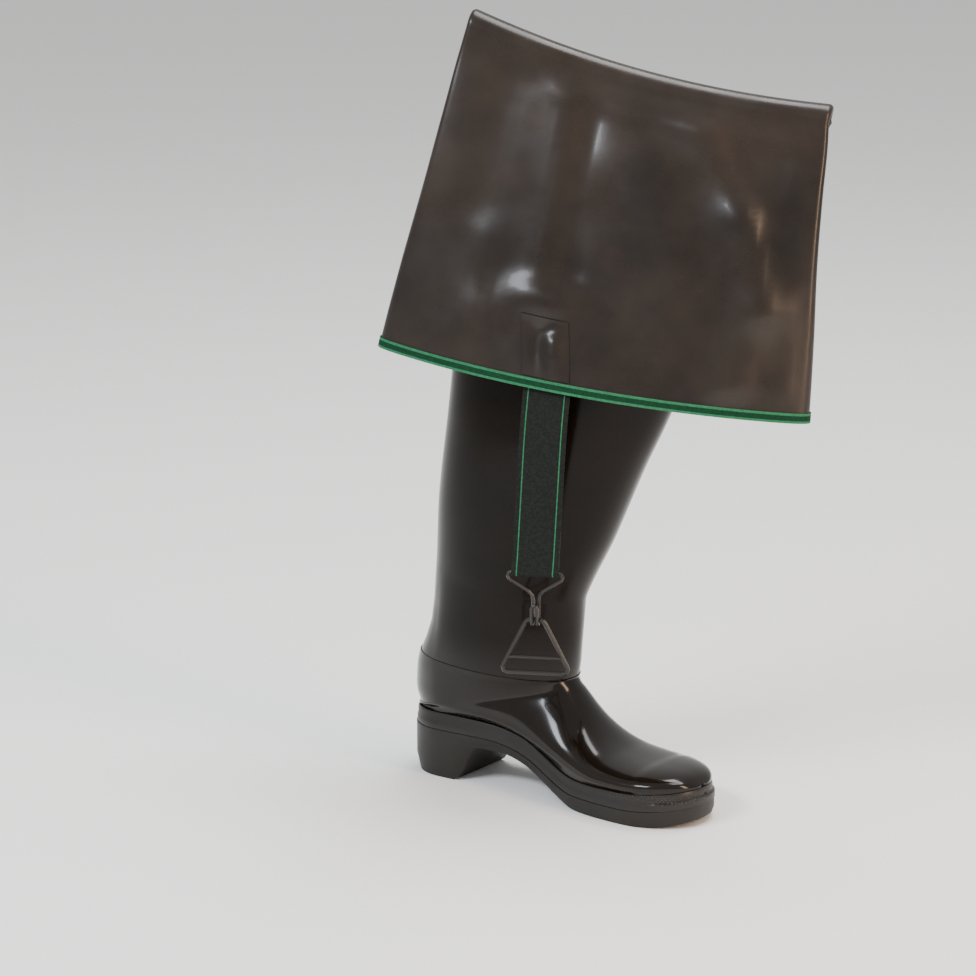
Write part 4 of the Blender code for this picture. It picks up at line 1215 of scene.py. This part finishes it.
def plain(name, colour, roughness, metallic):
    material = bpy.data.materials.new(name)
    material.use_nodes = True
    shader = material.node_tree.nodes["Principled BSDF"]
    shader.inputs["Base Color"].default_value = (*colour, 1.0)
    shader.inputs["Roughness"].default_value = roughness
    shader.inputs["Metallic"].default_value = metallic
    return material


def webbing(name, colour, other):
    """Woven tape: fine ribs across it in two near colours."""
    material = plain(name, colour, WEAVE_ROUGHNESS, 0.0)
    tree = material.node_tree
    shader = tree.nodes["Principled BSDF"]
    shader.inputs["Specular IOR Level"].default_value = WEAVE_SHINE
    speckle = ramp_node(tree, noise_node(tree, WEAVE_SPECKLE, WEAVE_DETAIL), *WEAVE_SPREAD)
    tree.links.new(mix_node(tree, colour, other, speckle), shader.inputs["Base Color"])
    ribs = wave_node(tree, place_node(tree), "Z", WEAVE_RIBS)
    relief(material, ribs, WEAVE_STRENGTH, WEAVE_DEPTH)
    return material


def strap_object(base, mark):
    """The strap with a thin light line woven in near each edge."""
    half = STRAP_WIDE / 2
    inset = half - STRAP_MARK_INSET
    lines = [-half, -inset - STRAP_MARK, -inset, inset, inset + STRAP_MARK, half]
    path, bar = strap_path()
    shift = np.array(BAR) - strap_point(bar)
    fine = []
    for a, b in zip(path, path[1:]):
        steps = max(1, int(np.linalg.norm(b - a) / STRAP_STEP))
        fine += [a + (b - a) * i / steps for i in range(steps)]
    fine.append(path[-1])
    sheet = Sheet()
    rows = [sheet.add([strap_point(spot, place) + shift for place in lines]) for spot in fine]
    sheet.join_rows(rows, False)
    points, faces = facing_out(*sheet.wall(STRAP_THICK / 2, STRAP_THICK / 2))
    obj = surface_object("strap_look", points, faces, "strap", "strap_webbing", base)
    obj.data.materials.append(mark)
    columns = len(lines) - 1
    count = len(sheet.faces)
    for k in range(2 * count):
        obj.data.polygons[k].material_index = 1 if (k % count) % columns in (1, 3) else 0
    return obj


def binding_object(base, mark):
    """The hem's tape with a paler line along its upper and its lower edge."""
    solid = hem_binding_solid(BINDING_CUTS)
    obj = surface_object("binding_look", *solid, "hem_binding", "hem_tape", base)
    obj.data.materials.append(mark)
    count = len(obj.data.polygons) // AROUND
    for k, face in enumerate(obj.data.polygons):
        face.material_index = 1 if k % count in BINDING_LINES else 0
    return obj


def make_light(name, place, size, power, colour):
    data = bpy.data.lights.new(name, "AREA")
    data.shape = "RECTANGLE"
    data.size, data.size_y = size
    data.energy = power
    data.color = colour
    light = placed(name, data)
    light.location = place
    facing = Vector(LIGHTS_AIM) - Vector(place)
    light.rotation_euler = facing.to_track_quat("-Z", "Y").to_euler()


def studio():
    """A pale floor, soft lights and a pale world."""
    mesh = bpy.data.meshes.new("floor")
    signs = ((-1, -1), (1, -1), (1, 1), (-1, 1))
    mesh.from_pydata([(x * FLOOR_REACH, y * FLOOR_REACH, 0.0) for x, y in signs], [], [(0, 1, 2, 3)])
    mesh.materials.append(plain("floor_white", FLOOR_WHITE, FLOOR_ROUGHNESS, 0.0))
    floor = placed("floor", mesh)
    for row in LIGHTS:
        make_light(*row)
    world = bpy.data.worlds.new("studio")
    world.use_nodes = True
    background = world.node_tree.nodes["Background"]
    background.inputs["Color"].default_value = (1.0, 1.0, 1.0, 1.0)
    background.inputs["Strength"].default_value = WORLD_STRENGTH
    bpy.context.scene.world = world


def set_camera():
    """The camera at the photo's angle."""
    azimuth, elevation = math.radians(CAMERA_AZIMUTH), math.radians(CAMERA_ELEVATION)
    right = Vector((math.cos(azimuth), math.sin(azimuth), 0.0))
    back = Vector((
        math.sin(azimuth) * math.cos(elevation),
        -math.cos(azimuth) * math.cos(elevation),
        math.sin(elevation),
    ))
    up = back.cross(right)
    data = bpy.data.cameras.new("camera")
    data.sensor_width = CAMERA_SENSOR
    data.lens = CAMERA_SENSOR * CAMERA_DISTANCE / (PHOTO_SIZE * MM_PER_PIXEL)
    data.shift_x = -(TARGET_PIXEL[0] - PHOTO_SIZE / 2) / PHOTO_SIZE
    data.shift_y = (TARGET_PIXEL[1] - PHOTO_SIZE / 2) / PHOTO_SIZE
    data.clip_end = CAMERA_REACH
    camera = placed("camera", data)
    turn = Matrix((right, up, back)).transposed()
    place = Vector(TARGET) * MM + back * CAMERA_DISTANCE * MM
    camera.matrix_world = Matrix.Translation(place) @ turn.to_4x4()
    bpy.context.scene.camera = camera


def main():
    boot, leg, sole, band = [rubber(*row) for row in RUBBERS]
    tape, edging, webbed = [webbing(*row) for row in WEBBINGS]
    metal, lining = [plain(*row) for row in PLAIN_LOOKS]
    glossy_foot(boot)
    diamonds(band)
    sheet = rounded_ankle(upper_sheet())
    obj = surface_object("upper_look", *sheet.wall(0.0, UPPER_WALL), "upper", "boot_rubber", boot)
    line_inside(obj, len(sheet.faces), lining)
    sheet = creased_leg()
    obj = surface_object("leg_look", *sheet.wall(0.0, LEG_WALL), "leg", "leg_rubber", leg)
    line_inside(obj, len(sheet.faces), lining)
    foxing_object(band)
    outsole = outsole_object(sole)
    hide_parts("outsole")
    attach(outsole, "root")
    binding_object(tape, edging)
    surface_object("patch_look", *strap_patch_solid(), "strap_patch", "leg_rubber", leg)
    strap_object(webbed, edging)
    for name in ("hook", "ring"):
        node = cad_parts[name]
        node.data.materials.clear()
        node.data.materials.append(metal)
    studio()
    set_camera()


main()
